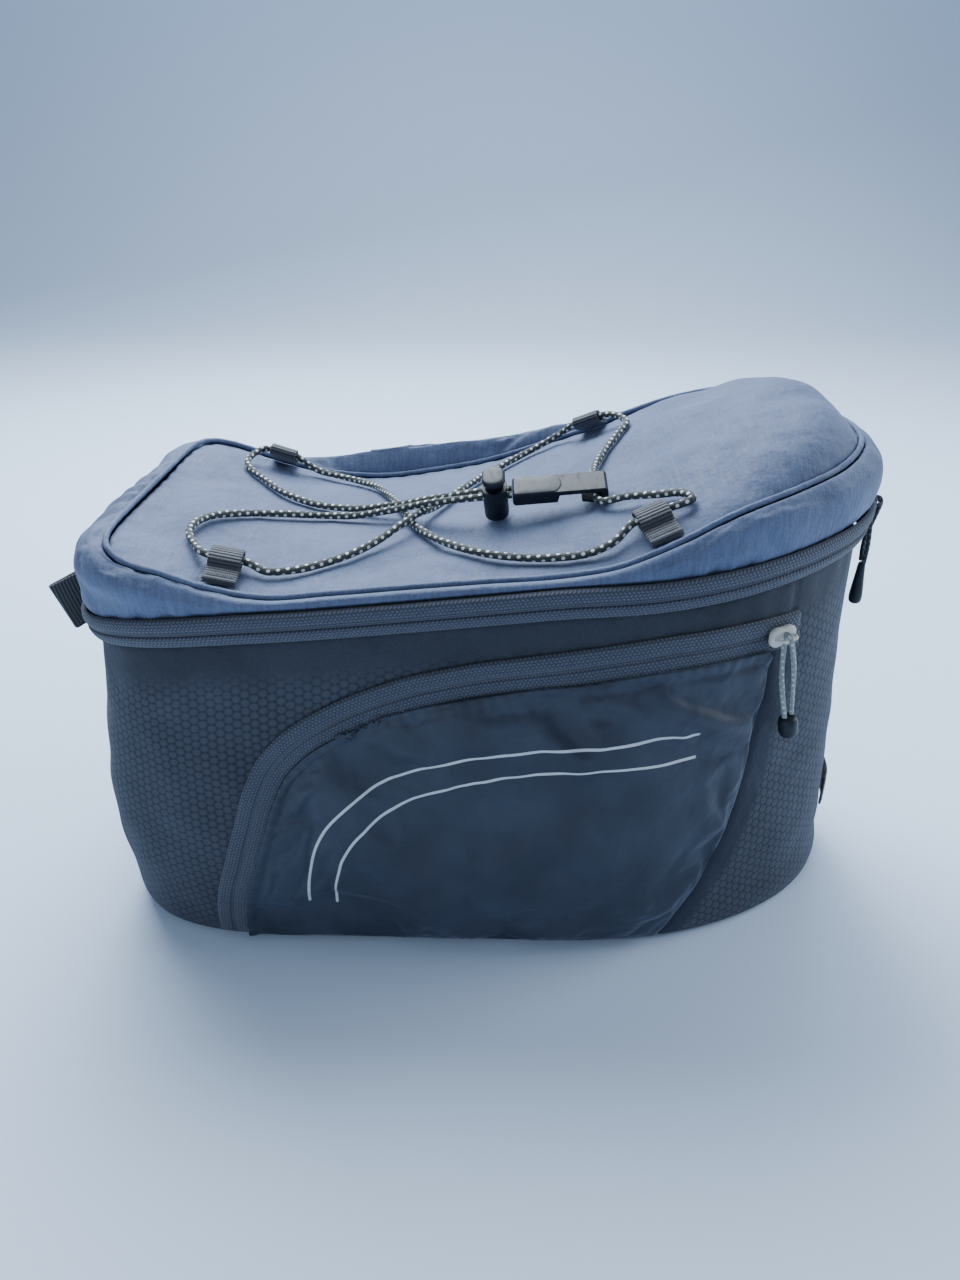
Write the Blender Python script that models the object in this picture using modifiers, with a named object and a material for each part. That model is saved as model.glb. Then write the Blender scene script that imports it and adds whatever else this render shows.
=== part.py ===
# Bicycle rack bag: a soft padded tub with a zipped, domed lid, two side pockets, an elastic
# cord laced over the lid through four webbing loops, and the cord's lock and hook.
# Metres, +Z up. +X runs to the round rear end, -Y is the side with the pocket that shows.
import bpy
import bmesh
import numpy as np
from math import cos, pi, radians, sin
from mathutils import Matrix, Vector

MM = 0.001

# Body, seen from above: two straight sides, a squarish front end and a long round rear end
FRONT_END = 121 * MM       # from the straight side to the flat end at -X
STRAIGHT_SIDE = 125 * MM
REAR_END = 157 * MM        # from the straight side to the round end at +X
HALF_WIDTH = 101 * MM
BAG_HEIGHT = 266 * MM      # the heights of the zip and the lid are shares of this
BODY_WALL = 3.0 * MM       # padded cloth
SEAM_GAP = 0.3 * MM        # between pieces that are sewn or seated face to face

# Main zip, a band between the body and the lid
ZIP_BAND = 17.0 * MM
ZIP_COIL = 2.2 * MM        # width of the closed teeth between the tapes
TAPE_WALL = 1.4 * MM
ZIP_SWELL = 1.6 * MM       # how far the band bows outwards
ZIP_START = 33 * MM        # along the front end, from its middle
ZIP_PAST_END = 12 * MM     # how far the zip runs past the middle of the rear end

# Lid
PANEL_WALL = 2.0 * MM
RIM_WALL = 2.3 * MM
PIPING_RADIUS = 1.5 * MM
PIPING_ROOM = 0.9 * MM     # between the piping and the edges of the cloth that it joins

# Side pockets
POCKET_WALL = 1.6 * MM
POCKET_STANDOFF = 0.5 * MM
POCKET_SWELL = 4.2 * MM    # how far the empty pocket stands off the side
POCKET_ZIP = 17.0 * MM     # width of the pocket's zip
POCKET_COIL = 2.2 * MM

# Elastic cord, loops, lock and hook
CORD_DIAMETER = 3.6 * MM
CORD_ROOM = 0.4 * MM       # between the cord and what it passes through
LID_ROOM = 1.2 * MM        # between the cord and the lid
LOOP_WIDTH = 15.0 * MM
LOOP_LENGTH = 24.0 * MM
LOOP_WALL = 1.3 * MM
LOCK_WIDTH = 12.0 * MM     # the barrel's small side, along the cord
LOCK_DEPTH = 16.0 * MM     # its large side, across the two strands
LOCK_HEIGHT = 16.0 * MM
LOCK_WALL = 1.7 * MM
LOCK_FLOOR = 2.0 * MM
LOCK_LEAN = 20.0           # degrees that the lock and the hook lean towards -Y
STRAND_PITCH = 4.4 * MM    # between the two strands in the lock
BUTTON_TRAVEL = 3.0 * MM
BUTTON_CAP = 3.2 * MM       # thickness of the button's cap
CAP_INSET = 0.4 * MM       # of the cap's edge from the barrel's
SLIDE_ROOM = 0.3 * MM      # between the button and the barrel, also at the end of its travel
CUT_PAST = 1.0 * MM        # how far a cutter runs on past what it cuts
HOOK_WIDTH = 14.0 * MM
HOOK_LENGTH = 46.0 * MM
HOOK_BLOCK = 6.5 * MM      # thickness of the half that holds the cord's ends
HOOK_PLATE = 2.6 * MM      # thickness of the half that ends in the crook
HOOK_TAIL_SHARE = 0.47     # share of the hook's length that is the thick half
HOOK_TONGUE = 1.4 * MM     # thickness of the crook's lip and tongue
HOOK_MOUTH = 7.2 * MM      # from the cord's middle back to the tongue's tip
HOOK_NOSE = 5.6 * MM       # from the cord's middle to the end of the hook
HOOK_DROP = 1.4 * MM       # of the cord in the crook, under the middle of the tail
LINK_GAP = 2.2 * MM        # of bare strand between the lock and the hook

# Sliders, their cord pulls, tab and strap
SLIDER_LENGTH = 15.0 * MM
SLIDER_HEIGHT = 10.0 * MM
SLIDER_PLATE = 3.2 * MM
BAR_RADIUS = 0.8 * MM      # the bridge that the pull hangs on
PULL_CORD_DIAMETER = 2.0 * MM
PULL_ROOM = 0.35 * MM      # between the pull's cord and the bar and plate
PULL_POINT_COUNT = 26
PULL_SPREAD = 6.0 * MM     # between the two strands where they are widest
PULL_HANG = 2.4 * MM       # from the slider's plate out to the middle of the pull's end
POCKET_PULL_DROP = 44.0 * MM
POCKET_PULL_LEAN = 9.0    # degrees towards the rear
MAIN_PULL_DROP = 34.0 * MM
KNOB_DIAMETER = 9.5 * MM
KNOB_LENGTH = 12.0 * MM
TEARDROP_DIAMETER = 7.0 * MM
TEARDROP_LENGTH = 24.0 * MM
TAB_WIDTH = 25.0 * MM
TAB_WALL = 1.3 * MM
TAB_SLIT = 0.8 * MM        # between the two layers of the folded tab
TAB_REACH = 20.0 * MM      # past the widest point of the front end
TAB_PLACE = 23.0 * MM      # along the front end from its middle to where the tab is sewn
TAB_ASIDE = 20.0 * MM      # of its fold towards -Y
TAB_DROP = 7.3 * MM        # of its fold
TAB_FOLD = (13.0, -6.0, -21.5)      # the way its fold runs, from the top
STRAP_WIDTH = 19.0 * MM
STRAP_LENGTH = 44.0 * MM
STRAP_HEIGHT = 38.5 * MM   # of its lower edge
STRAP_RISE = 1.8 * MM
STRAP_WALL = 1.3 * MM

RING_COUNT = 48            # points round the body and the lid
STRIP_COUNT = 26           # points along each strip of the main zip
BAG_LENGTH = FRONT_END + STRAIGHT_SIDE + REAR_END

# Levels of the body. Height is a share of the seam's height there, the reaches and the half
# width are shares of the sizes above, and corner is the exponent of the front corners.
BODY_LEVELS = (
    # height, front, rear, half_width, corner
    (0.000, 0.945, 0.965, 0.945, 3.4),
    (0.012, 0.966, 0.986, 0.970, 3.5),
    (0.035, 0.980, 0.996, 0.985, 3.6),
    (0.130, 0.992, 0.990, 0.998, 3.8),
    (0.500, 1.000, 0.957, 1.000, 4.0),
    (0.700, 0.975, 0.944, 0.994, 4.0),
    (0.860, 0.940, 0.932, 0.982, 4.2),
    (1.000, 0.912, 0.930, 0.966, 4.4),
)
ZIP_TOP = (0.935, 0.955, 1.005, 4.6)        # front, rear, half_width, corner
PIPING_LINE = (0.760, 0.888, 0.915, 8.0)
LID_SHIFT = -2.5 * MM      # the lid's outline lies this much nearer to -Y than the body's

# Height of the seam under the main zip, as a share of the bag's height
SEAM_HEIGHTS = (
    # along, height
    (0.022, 0.635),
    (0.089, 0.654),
    (0.151, 0.665),
    (0.221, 0.675),
    (0.298, 0.684),
    (0.372, 0.695),
    (0.501, 0.716),
    (0.605, 0.733),
    (0.710, 0.742),
    (0.782, 0.752),
    (0.841, 0.763),
    (0.903, 0.774),
    (0.983, 0.782),
)

# The lid along the bag: where its edge runs at -Y and at +Y, how much it crowns between them,
# how square that crown is (2 is a plain arch), and how high the padded rim rolls up beside it.
# The edges, the crown and the rolls are shares of the bag's height.
LID_ROWS = (
    # along, near, far, crown, near_roll, far_roll, square
    (0.072, 0.838, 0.838, 0.000, 0.012, 0.012, 2.0),
    (0.104, 0.816, 0.823, 0.004, 0.012, 0.012, 2.0),
    (0.144, 0.801, 0.801, 0.011, 0.010, 0.014, 2.0),
    (0.194, 0.776, 0.774, 0.017, 0.008, 0.020, 2.0),
    (0.258, 0.758, 0.750, 0.022, 0.006, 0.042, 2.0),
    (0.337, 0.767, 0.742, 0.022, 0.006, 0.062, 2.0),
    (0.424, 0.780, 0.759, 0.020, 0.006, 0.064, 2.0),
    (0.501, 0.791, 0.782, 0.019, 0.006, 0.060, 2.0),
    (0.603, 0.806, 0.833, 0.022, 0.006, 0.048, 2.0),
    (0.650, 0.820, 0.858, 0.026, 0.008, 0.038, 2.0),
    (0.705, 0.853, 0.898, 0.032, 0.010, 0.024, 2.1),
    (0.772, 0.898, 0.940, 0.050, 0.012, 0.016, 2.8),
    (0.846, 0.925, 0.970, 0.066, 0.012, 0.014, 4.0),
    (0.908, 0.940, 0.968, 0.060, 0.012, 0.012, 4.0),
    (0.956, 0.955, 0.957, 0.000, 0.012, 0.012, 4.0),
)

# Middle of the pocket's zip on the side, from its lower end to its slider: along is a share of
# the bag's length, height a share of the bag's height
POCKET_ZIP_LINE = (
    # along, height
    (0.177, 0.030),
    (0.180, 0.105),
    (0.199, 0.207),
    (0.216, 0.290),
    (0.231, 0.361),
    (0.256, 0.436),
    (0.295, 0.496),
    (0.352, 0.545),
    (0.427, 0.590),
    (0.501, 0.617),
    (0.600, 0.642),
    (0.710, 0.664),
    (0.790, 0.671),
    (0.868, 0.674),
)
# Rear edge of the pocket, from its top to its foot
POCKET_REAR_LINE = (
    # along, height
    (0.834, 0.630),
    (0.832, 0.560),
    (0.826, 0.480),
    (0.822, 0.395),
    (0.813, 0.310),
    (0.798, 0.225),
    (0.778, 0.140),
    (0.750, 0.070),
    (0.730, 0.022),
)
POCKET_FOOT = 0.022        # height of the pocket's lower edge, a share of the bag's height
POCKET_CORNER = 0.43       # share of the zip's length at which the pocket's front upper corner lies

# Webbing loops: where each one is sewn to the lid, as shares of the bag's length and of its half
# width, which way it points and how far it stands up
CORD_LOOPS = {
    # name: along, across, turn, tilt (degrees)
    "cord_loop_front_near": (0.209, -0.901, 4, 3),
    "cord_loop_rear_near": (0.703, -0.872, 12, 3),
    "cord_loop_front_far": (0.193, 0.851, 180, 20),
    "cord_loop_rear_far": (0.657, 0.842, 168, 18),
}
LOOP_EYE = (16.8 * MM, 4.0 * MM)   # middle of the loop's hollow: from its root, and above its foot

# Button's cap: how much of its outline is left at each height above its foot
BUTTON_CAP_ROWS = (
    # outline, rise
    (1.00, 0.00),
    (1.00, 0.60),
    (0.90, 0.88),
    (0.66, 1.00),
)

# Route of the elastic cord over the lid, in stretches from the lock to a loop, between loops
# and round the hook. Each point is a place in plan and the lift of the cord's middle above
# where it would lie on the lid, all in millimetres.
CORD_ROUTE = (
    # x, y, lift
    ((-6.0, -25.0, 10.8), (-20.0, -19.6, 8.2), (-34.0, -13.0, 5.2), (-50.0, -5.5, 1.8),
     (-72.0, 2.5, 0.0), (-97.0, 16.0, 0.0), (-119.0, 38.0, 0.0), (-131.0, 59.0, 0.8)),
    ((-98.0, 72.5, 2.6), (-78.0, 67.0, 0.2), (-60.0, 51.0, 0.0), (-46.0, 24.0, 0.0),
     (-35.0, -7.0, 0.0), (-26.0, -33.0, 0.0), (-9.0, -58.0, 0.0), (15.0, -76.0, 0.0),
     (42.0, -83.0, 0.0), (65.0, -81.5, 0.8)),
    ((101.5, -71.0, 1.4), (99.5, -64.5, 1.0), (91.0, -57.0, 1.0), (77.5, -49.5, 3.0)),
    ((61.5, -13.0, 3.4), (65.0, 5.0, 0.6), (75.0, 32.0, 0.6), (85.0, 55.0, 1.0)),
    ((54.0, 75.5, 4.6), (36.0, 71.0, 0.6), (17.0, 54.0, 0.0), (-1.0, 25.0, 0.0),
     (-13.0, 0.0, 0.8), (-21.5, -20.0, 1.8), (-26.5, -31.0, 4.6), (-38.0, -48.0, 2.2),
     (-55.0, -63.0, 0.0), (-76.0, -74.0, 0.0), (-93.0, -77.0, 0.6)),
    ((-125.5, -66.5, 0.8), (-132.0, -53.0, 0.0), (-129.0, -35.0, 0.0), (-113.0, -18.5, 0.0),
     (-90.0, -10.0, 0.0), (-66.0, -11.5, 0.0), (-49.0, -15.0, 1.4), (-34.0, -19.4, 5.4),
     (-20.0, -25.4, 8.2), (-6.0, -30.4, 10.6)),
)
# What the cord passes between those stretches, with the side on which it enters
CORD_PASSES = (
    ("cord_loop_front_far", 1),
    ("cord_loop_rear_near", -1),
    ("hook", -1),
    ("cord_loop_rear_far", -1),
    ("cord_loop_front_near", 1),
)
PASS_REACH = 1.5 * MM      # how far the cord runs straight on past a loop or the hook
CORD_POINT_COUNT = 80
CORD_BEND_SHARE = 0.6      # share of those points that goes to its bends, the rest to its length
LOCK_PLACE = (13.5, -31.0, 14.4)   # middle of the two strands in the lock: x, y and height
LOCK_PITCH = 5.5                   # degrees that the hook's end is tipped up


def column(table, index):
    return np.array([row[index] for row in table], float)


def smooth(at, table, index):
    """Value of a table's column at a share along the bag, on a smooth curve through its rows."""
    xs = column(table, 0)
    ys = column(table, index)
    slope = np.gradient(ys, xs)
    at = np.clip(np.asarray(at, float), xs[0], xs[-1])
    i = np.clip(np.searchsorted(xs, at) - 1, 0, len(xs) - 2)
    step = xs[i + 1] - xs[i]
    t = (at - xs[i]) / step
    start = (2 * t**3 - 3 * t**2 + 1) * ys[i] + (t**3 - 2 * t**2 + t) * step * slope[i]
    stop = (3 * t**2 - 2 * t**3) * ys[i + 1] + (t**3 - t**2) * step * slope[i + 1]
    return start + stop


def curve_through(points):
    """Fine polyline along a smooth curve through the given points."""
    points = np.asarray(points, float)
    place = np.r_[0, np.cumsum(np.linalg.norm(np.diff(points, axis=0), axis=1))]
    slope = np.gradient(points, place, axis=0)
    t = np.linspace(0, 1, 12, endpoint=False)[:, None]
    fine = []
    for i, step in enumerate(np.diff(place)):
        start = (2 * t**3 - 3 * t**2 + 1) * points[i] + (t**3 - 2 * t**2 + t) * step * slope[i]
        stop = (3 * t**2 - 2 * t**3) * points[i + 1] + (t**3 - t**2) * step * slope[i + 1]
        fine.append(start + stop)
    return np.vstack(fine + [points[-1:]])


def through(points, count):
    """Evenly spaced points on a smooth curve through the given ones."""
    return evenly(curve_through(points), np.linspace(0, 1, count))


def closer_in_bends(fine, count, bend_share):
    """Points picked from a fine polyline, closer together where it bends."""
    run = np.diff(fine, axis=0)
    length = np.linalg.norm(run, axis=1)
    run /= length[:, None]
    turn = np.arccos(np.clip((run[1:] * run[:-1]).sum(axis=1), -1, 1))
    turn = (np.r_[turn, 0] + np.r_[0, turn]) / 2
    turn = np.convolve(turn, np.ones(5) / 5, mode="same")
    weight = (1 - bend_share) * length / length.sum() + bend_share * turn / turn.sum()
    place = np.r_[0, np.cumsum(weight)]
    picked = np.interp(np.linspace(0, place[-1], count), place, np.arange(len(fine)))
    return np.column_stack([np.interp(picked, np.arange(len(fine)), fine[:, k]) for k in range(3)])


def evenly(points, shares):
    """Points at the given shares of a polyline's length."""
    run = np.r_[0, np.cumsum(np.linalg.norm(np.diff(points, axis=0), axis=1))]
    where = np.asarray(shares, float) * run[-1]
    return np.column_stack([np.interp(where, run, points[:, k]) for k in range(points.shape[1])])


# Places along X: the bounding box is centred between the tab at -X and the main pull at +X
ZIP_FACE = ZIP_SWELL + TAPE_WALL + SEAM_GAP
PULL_BEND = BAR_RADIUS + PULL_ROOM + PULL_CORD_DIAMETER / 2    # from the bar to its cord's middle
BAR_HEIGHT = SLIDER_PLATE + PULL_ROOM + PULL_CORD_DIAMETER / 2 + PULL_BEND
PULL_FACE = BAR_HEIGHT + PULL_BEND + PULL_CORD_DIAMETER / 2
REAR_FACE = REAR_END * (BODY_LEVELS[-1][2] + ZIP_TOP[1]) / 2 + ZIP_FACE + PULL_FACE
BOX_LENGTH = TAB_REACH + FRONT_END + STRAIGHT_SIDE + REAR_FACE
FRONT_X = -BOX_LENGTH / 2 + TAB_REACH + FRONT_END     # where the straight side begins
REAR_X = FRONT_X + STRAIGHT_SIDE
BAG_START = FRONT_X - FRONT_END


def along(x):
    return (np.asarray(x, float) - BAG_START) / BAG_LENGTH


def half_width_at(x, front, rear, half, corner):
    """Half width of a plan outline at x: straight, with a superellipse and an ellipse as ends."""
    x = np.asarray(x, float)
    past = np.where(x < FRONT_X, (FRONT_X - x) / front, np.maximum(x - REAR_X, 0) / rear)
    power = np.where(x < FRONT_X, corner, 2.0)
    return half * np.maximum(1 - np.clip(past, 0, 1)**power, 1e-9)**(1 / power)


def outline(front, rear, half, corner, shares):
    """Plan outline from the middle of the front end, along -Y, to the rear end and back."""
    turn = np.linspace(0, pi / 2, 60)
    bend = 2 / corner
    front_x = FRONT_X - front * np.cos(turn)**bend
    front_y = -half * np.sin(turn)**bend
    rear_x = REAR_X + rear * np.sin(turn)
    rear_y = -half * np.cos(turn)
    near = np.column_stack([np.r_[front_x, rear_x], np.r_[front_y, rear_y]])
    far = near[::-1] * (1, -1)
    return evenly(np.vstack([near, far[1:]]), shares)


def sized(level):
    """An outline row's shares as lengths: front, rear, half width and the corner exponent."""
    front, rear, half, corner = level
    return front * FRONT_END, rear * REAR_END, half * HALF_WIDTH, corner


def level_at(share):
    """Outline row of the body at a share of the seam's height."""
    shares = column(BODY_LEVELS, 0)
    return [np.interp(share, shares, column(BODY_LEVELS, k)) for k in range(1, 5)]


def seam_height(x):
    return smooth(along(x), SEAM_HEIGHTS, 1) * BAG_HEIGHT


def lid_height(x, y):
    """Top of the lid: its two edges, blended across, with a crown between them."""
    share = along(x)
    near = smooth(share, LID_ROWS, 1)
    far = smooth(share, LID_ROWS, 2)
    crown = smooth(share, LID_ROWS, 3)
    square = smooth(share, LID_ROWS, 6)
    across = np.clip((y - LID_SHIFT) / half_width_at(x, *sized(PIPING_LINE)), -1, 1)
    arch = crown * (1 - np.abs(across)**square)
    return BAG_HEIGHT * (near + (far - near) * (1 + across) / 2 + arch)


def body_ring(level, shares):
    """Points of one level of the body's outside."""
    flat = outline(*sized(level[1:]), shares)
    return np.column_stack([flat, level[0] * seam_height(flat[:, 0])])


def zip_edges(shares):
    """Lower and upper edge of the main zip's band."""
    low = body_ring(BODY_LEVELS[-1], shares)
    flat = outline(*sized(ZIP_TOP), shares)
    high = np.column_stack([flat, seam_height(flat[:, 0]) + ZIP_BAND])
    return low, high


def outward(points):
    """Level unit normals of a plan outline, pointing out of the bag."""
    run = np.gradient(points[:, :2], axis=0)
    run /= np.linalg.norm(run, axis=1)[:, None]
    return np.column_stack([run[:, 1], -run[:, 0], np.zeros(len(run))])


def band_rows(shares, rises):
    """Rows of the main zip's band at the given heights above its lower edge."""
    low, high = zip_edges(shares)
    out = outward(low)
    rows = []
    for rise in rises:
        k = rise / ZIP_BAND
        rows.append(low + (high - low) * k + out * ZIP_SWELL * 4 * k * (1 - k))
    return np.array(rows)


# Objects
def start_collections():
    for ob in list(bpy.data.objects):
        bpy.data.objects.remove(ob, do_unlink=True)
    made = []
    for name in ("rack_bag", "cutters"):
        group = bpy.data.collections.new(name)
        bpy.context.scene.collection.children.link(group)
        made.append(group)
    return made


PARTS, CUTTERS = start_collections()
FINISHES = {
    # name: colour, roughness, metallic
    "body_cloth": ((0.045, 0.050, 0.070), 0.90, 0.0),
    "lid_cloth": ((0.085, 0.095, 0.130), 0.75, 0.0),
    "pocket_cloth": ((0.020, 0.023, 0.034), 0.70, 0.0),
    "zip_tape": ((0.030, 0.033, 0.045), 0.85, 0.0),
    "webbing": ((0.018, 0.020, 0.024), 0.85, 0.0),
    "cord": ((0.030, 0.036, 0.034), 0.85, 0.0),
    "pull_cord": ((0.200, 0.220, 0.210), 0.80, 0.0),
    "black_plastic": ((0.012, 0.014, 0.020), 0.35, 0.0),
    "pale_plastic": ((0.560, 0.550, 0.500), 0.45, 0.0),
}


def finish(name, kind):
    colour, roughness, metallic = FINISHES[kind]
    material = bpy.data.materials.new(name)
    material.use_nodes = True
    shader = material.node_tree.nodes["Principled BSDF"]
    shader.inputs["Base Color"].default_value = (*colour, 1)
    shader.inputs["Roughness"].default_value = roughness
    shader.inputs["Metallic"].default_value = metallic
    return material


def mesh_object(name, verts, faces, kind):
    mesh = bpy.data.meshes.new(name)
    mesh.from_pydata([tuple(map(float, v)) for v in verts], [], faces)
    mesh.validate()
    ob = bpy.data.objects.new(name, mesh)
    PARTS.objects.link(ob)
    if kind:
        mesh.materials.append(finish(name, kind))
    mesh.shade_smooth()
    return ob


def as_tool(ob):
    """Turns an object into a hidden cutter."""
    for group in list(ob.users_collection):
        group.objects.unlink(ob)
    CUTTERS.objects.link(ob)
    ob.hide_render = True
    ob.display_type = "WIRE"
    return ob


def combine(ob, tool, operation):
    modifier = ob.modifiers.new(operation.lower(), "BOOLEAN")
    modifier.operation = operation
    modifier.object = as_tool(tool)
    modifier.solver = "EXACT"
    return ob


def grid_faces(rows, cols, closed):
    faces = []
    for i in range(rows - 1):
        for j in range(cols if closed else cols - 1):
            k = (j + 1) % cols
            faces.append((i * cols + j, i * cols + k, (i + 1) * cols + k, (i + 1) * cols + j))
    return faces


def sheet(name, rows, wall, kind, closed=False, extra_faces=(), even=True):
    """A cloth wall: an open surface given as rows of points, thickened inwards."""
    rows = np.asarray(rows)
    faces = grid_faces(rows.shape[0], rows.shape[1], closed) + list(extra_faces)
    ob = mesh_object(name, rows.reshape(-1, 3), faces, kind)
    solid = ob.modifiers.new("wall", "SOLIDIFY")
    solid.thickness = wall
    solid.offset = -1
    solid.use_even_offset = even
    return ob


def loft(name, rings, kind):
    """A closed solid through rings of points that run the same way, with flat ends."""
    rings = np.asarray(rings)
    count = rings.shape[1]
    faces = grid_faces(rings.shape[0], count, True)
    faces.append(tuple(reversed(range(count))))
    last = (rings.shape[0] - 1) * count
    faces.append(tuple(range(last, last + count)))
    return mesh_object(name, rings.reshape(-1, 3), faces, kind)


def tube(name, points, radius, kind, resolution=2, cyclic=False):
    """A round cord along a polyline, with filled ends."""
    curve = bpy.data.curves.new(name, "CURVE")
    curve.dimensions = "3D"
    curve.bevel_depth = radius
    curve.bevel_resolution = resolution
    curve.use_fill_caps = True
    spline = curve.splines.new("POLY")
    spline.points.add(len(points) - 1)
    for point, place in zip(spline.points, points):
        point.co = (*map(float, place), 1)
    spline.use_cyclic_u = cyclic
    ob = bpy.data.objects.new(name, curve)
    PARTS.objects.link(ob)
    curve.materials.append(finish(name, kind))
    return ob


def as_mesh(ob):
    """Replaces a curve object by its mesh, with the caps joined on."""
    bpy.context.view_layer.update()
    evaluated = ob.evaluated_get(bpy.context.evaluated_depsgraph_get())
    mesh = bpy.data.meshes.new_from_object(evaluated)
    work = bmesh.new()
    work.from_mesh(mesh)
    bmesh.ops.remove_doubles(work, verts=work.verts, dist=1e-6)
    work.to_mesh(mesh)
    work.free()
    name = ob.name
    made = bpy.data.objects.new(name + "_mesh", mesh)
    made.matrix_world = ob.matrix_world
    PARTS.objects.link(made)
    bpy.data.objects.remove(ob, do_unlink=True)
    made.name = name
    return made


def plate(name, outlines, depth, kind, frame):
    """A flat outline, with any holes, extruded by half its depth each way from its plane."""
    curve = bpy.data.curves.new(name, "CURVE")
    curve.dimensions = "2D"
    curve.fill_mode = "BOTH"
    curve.extrude = depth / 2
    for points in outlines:
        spline = curve.splines.new("POLY")
        spline.points.add(len(points) - 1)
        for point, place in zip(spline.points, points):
            point.co = (float(place[0]), float(place[1]), 0, 1)
        spline.use_cyclic_u = True
    if kind:
        curve.materials.append(finish(name, kind))
    ob = bpy.data.objects.new(name, curve)
    PARTS.objects.link(ob)
    ob.matrix_world = frame
    return as_mesh(ob)


def frame_of(origin, x_axis, y_axis):
    """Placement matrix from an origin and two directions, the second made square to the first."""
    x = Vector(x_axis).normalized()
    z = x.cross(Vector(y_axis)).normalized()
    y = z.cross(x)
    turn = Matrix((x, y, z)).transposed().to_4x4()
    return Matrix.Translation(Vector(origin)) @ turn


def stadium(length, width, count=9):
    """Outline of two half circles joined by straight runs; length along Y, width along X."""
    radius = width / 2
    run = (length - width) / 2
    turn = np.linspace(0, pi, count)
    top = np.column_stack([radius * np.cos(turn), run + radius * np.sin(turn)])
    return np.vstack([top, -top])


# Body
def build_body():
    shares = np.arange(RING_COUNT) / RING_COUNT
    rows = [body_ring(level, shares) for level in BODY_LEVELS]
    floor = tuple(reversed(range(RING_COUNT)))
    return sheet("body_shell", rows, BODY_WALL, "body_cloth", closed=True, extra_faces=[floor])


def perimeter():
    low, _ = zip_edges(np.linspace(0, 1, 400))
    return np.linalg.norm(np.diff(low[:, :2], axis=0), axis=1).sum()


def build_main_zip():
    length = perimeter()
    start = ZIP_START / length
    stop = 0.5 + ZIP_PAST_END / length
    shares = np.linspace(start, stop, STRIP_COUNT)
    middle = ZIP_BAND / 2
    inner = middle - ZIP_COIL / 2
    lower = (SEAM_GAP, inner / 2, inner - SEAM_GAP)
    upper = (ZIP_BAND - inner + SEAM_GAP, ZIP_BAND - inner / 2, ZIP_BAND - SEAM_GAP)
    teeth = (middle - ZIP_COIL / 2, middle + ZIP_COIL / 2)
    out = np.array([outward(zip_edges(shares)[0])])
    sheet("main_zip_tape_lower", band_rows(shares, lower) + out * TAPE_WALL, TAPE_WALL, "zip_tape")
    sheet("main_zip_tape_upper", band_rows(shares, upper) + out * TAPE_WALL, TAPE_WALL, "zip_tape")
    sheet("main_zip_coil", band_rows(shares, teeth) + out * TAPE_WALL, TAPE_WALL, "zip_tape")
    rest = np.linspace(stop + SEAM_GAP / length, 1 + start - SEAM_GAP / length, STRIP_COUNT)
    wrapped = np.where(rest > 1, rest - 1, rest)
    order = np.argsort(wrapped)
    inside = band_rows(wrapped[order], (SEAM_GAP, middle, ZIP_BAND - SEAM_GAP))
    rows = np.empty_like(inside)
    rows[:, order] = inside
    out = np.empty((len(rest), 3))
    out[order] = outward(zip_edges(wrapped[order])[0])
    sheet("lid_hinge", rows + out * TAPE_WALL, BODY_WALL, "body_cloth")


def piping_points(shares):
    flat = outline(*sized(PIPING_LINE), shares) + (0, LID_SHIFT)
    height = lid_height(flat[:, 0], flat[:, 1])
    return np.column_stack([flat, height])


def ring_outward(points):
    """Level outward normals of a closed ring."""
    run = np.roll(points[:, :2], -1, axis=0) - np.roll(points[:, :2], 1, axis=0)
    run /= np.linalg.norm(run, axis=1)[:, None]
    return np.column_stack([run[:, 1], -run[:, 0], np.zeros(len(run))])


def build_lid():
    shares = np.arange(RING_COUNT) / RING_COUNT
    edge = piping_points(shares)
    out = ring_outward(edge)
    reach = PIPING_RADIUS + PIPING_ROOM
    tube("lid_piping", edge + (0, 0, 0.5 * PIPING_RADIUS), PIPING_RADIUS, "lid_cloth", 1, cyclic=True)

    rings = []
    middle = np.array([(FRONT_X + REAR_X) / 2, LID_SHIFT])
    for k in (0.18, 0.36, 0.54, 0.71, 0.87, 1.0):
        flat = middle + (edge[:, :2] - out[:, :2] * reach - middle) * k
        rings.append(np.column_stack([flat, lid_height(flat[:, 0], flat[:, 1])]))
    rings.reverse()
    last = (len(rings) - 1) * RING_COUNT
    cap = tuple(range(last, last + RING_COUNT))
    sheet("lid_panel", rings, PANEL_WALL, "lid_cloth", closed=True, extra_faces=[cap])

    _, low = zip_edges(shares)
    low = low + (0, 0, SEAM_GAP)
    low_out = ring_outward(low)
    high = edge + out * reach
    drop = high[:, 2] - low[:, 2]
    inset = np.linalg.norm(high[:, :2] - low[:, :2], axis=1)
    side = (1 + np.clip(low[:, 1] / (0.3 * HALF_WIDTH), -1, 1)) / 2
    share = along(edge[:, 0])
    near_roll = smooth(share, LID_ROWS, 4)
    far_roll = smooth(share, LID_ROWS, 5)
    roll = BAG_HEIGHT * (near_roll + (far_roll - near_roll) * side)
    up = np.array([0, 0, 1.0])
    first = low + up * (0.5 * np.maximum(drop, 0) + roll)[:, None] \
        + low_out * (0.2 * np.maximum(drop, 0))[:, None]
    second = high + up * roll[:, None] + out * (0.6 * inset)[:, None]
    rows = []
    for t in (0, 0.22, 0.48, 0.75, 1.0):
        rows.append((1 - t)**3 * low + 3 * (1 - t)**2 * t * first
                    + 3 * (1 - t) * t**2 * second + t**3 * high)
    sheet("lid_rim", rows, RIM_WALL, "lid_cloth", closed=True, even=False)


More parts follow.
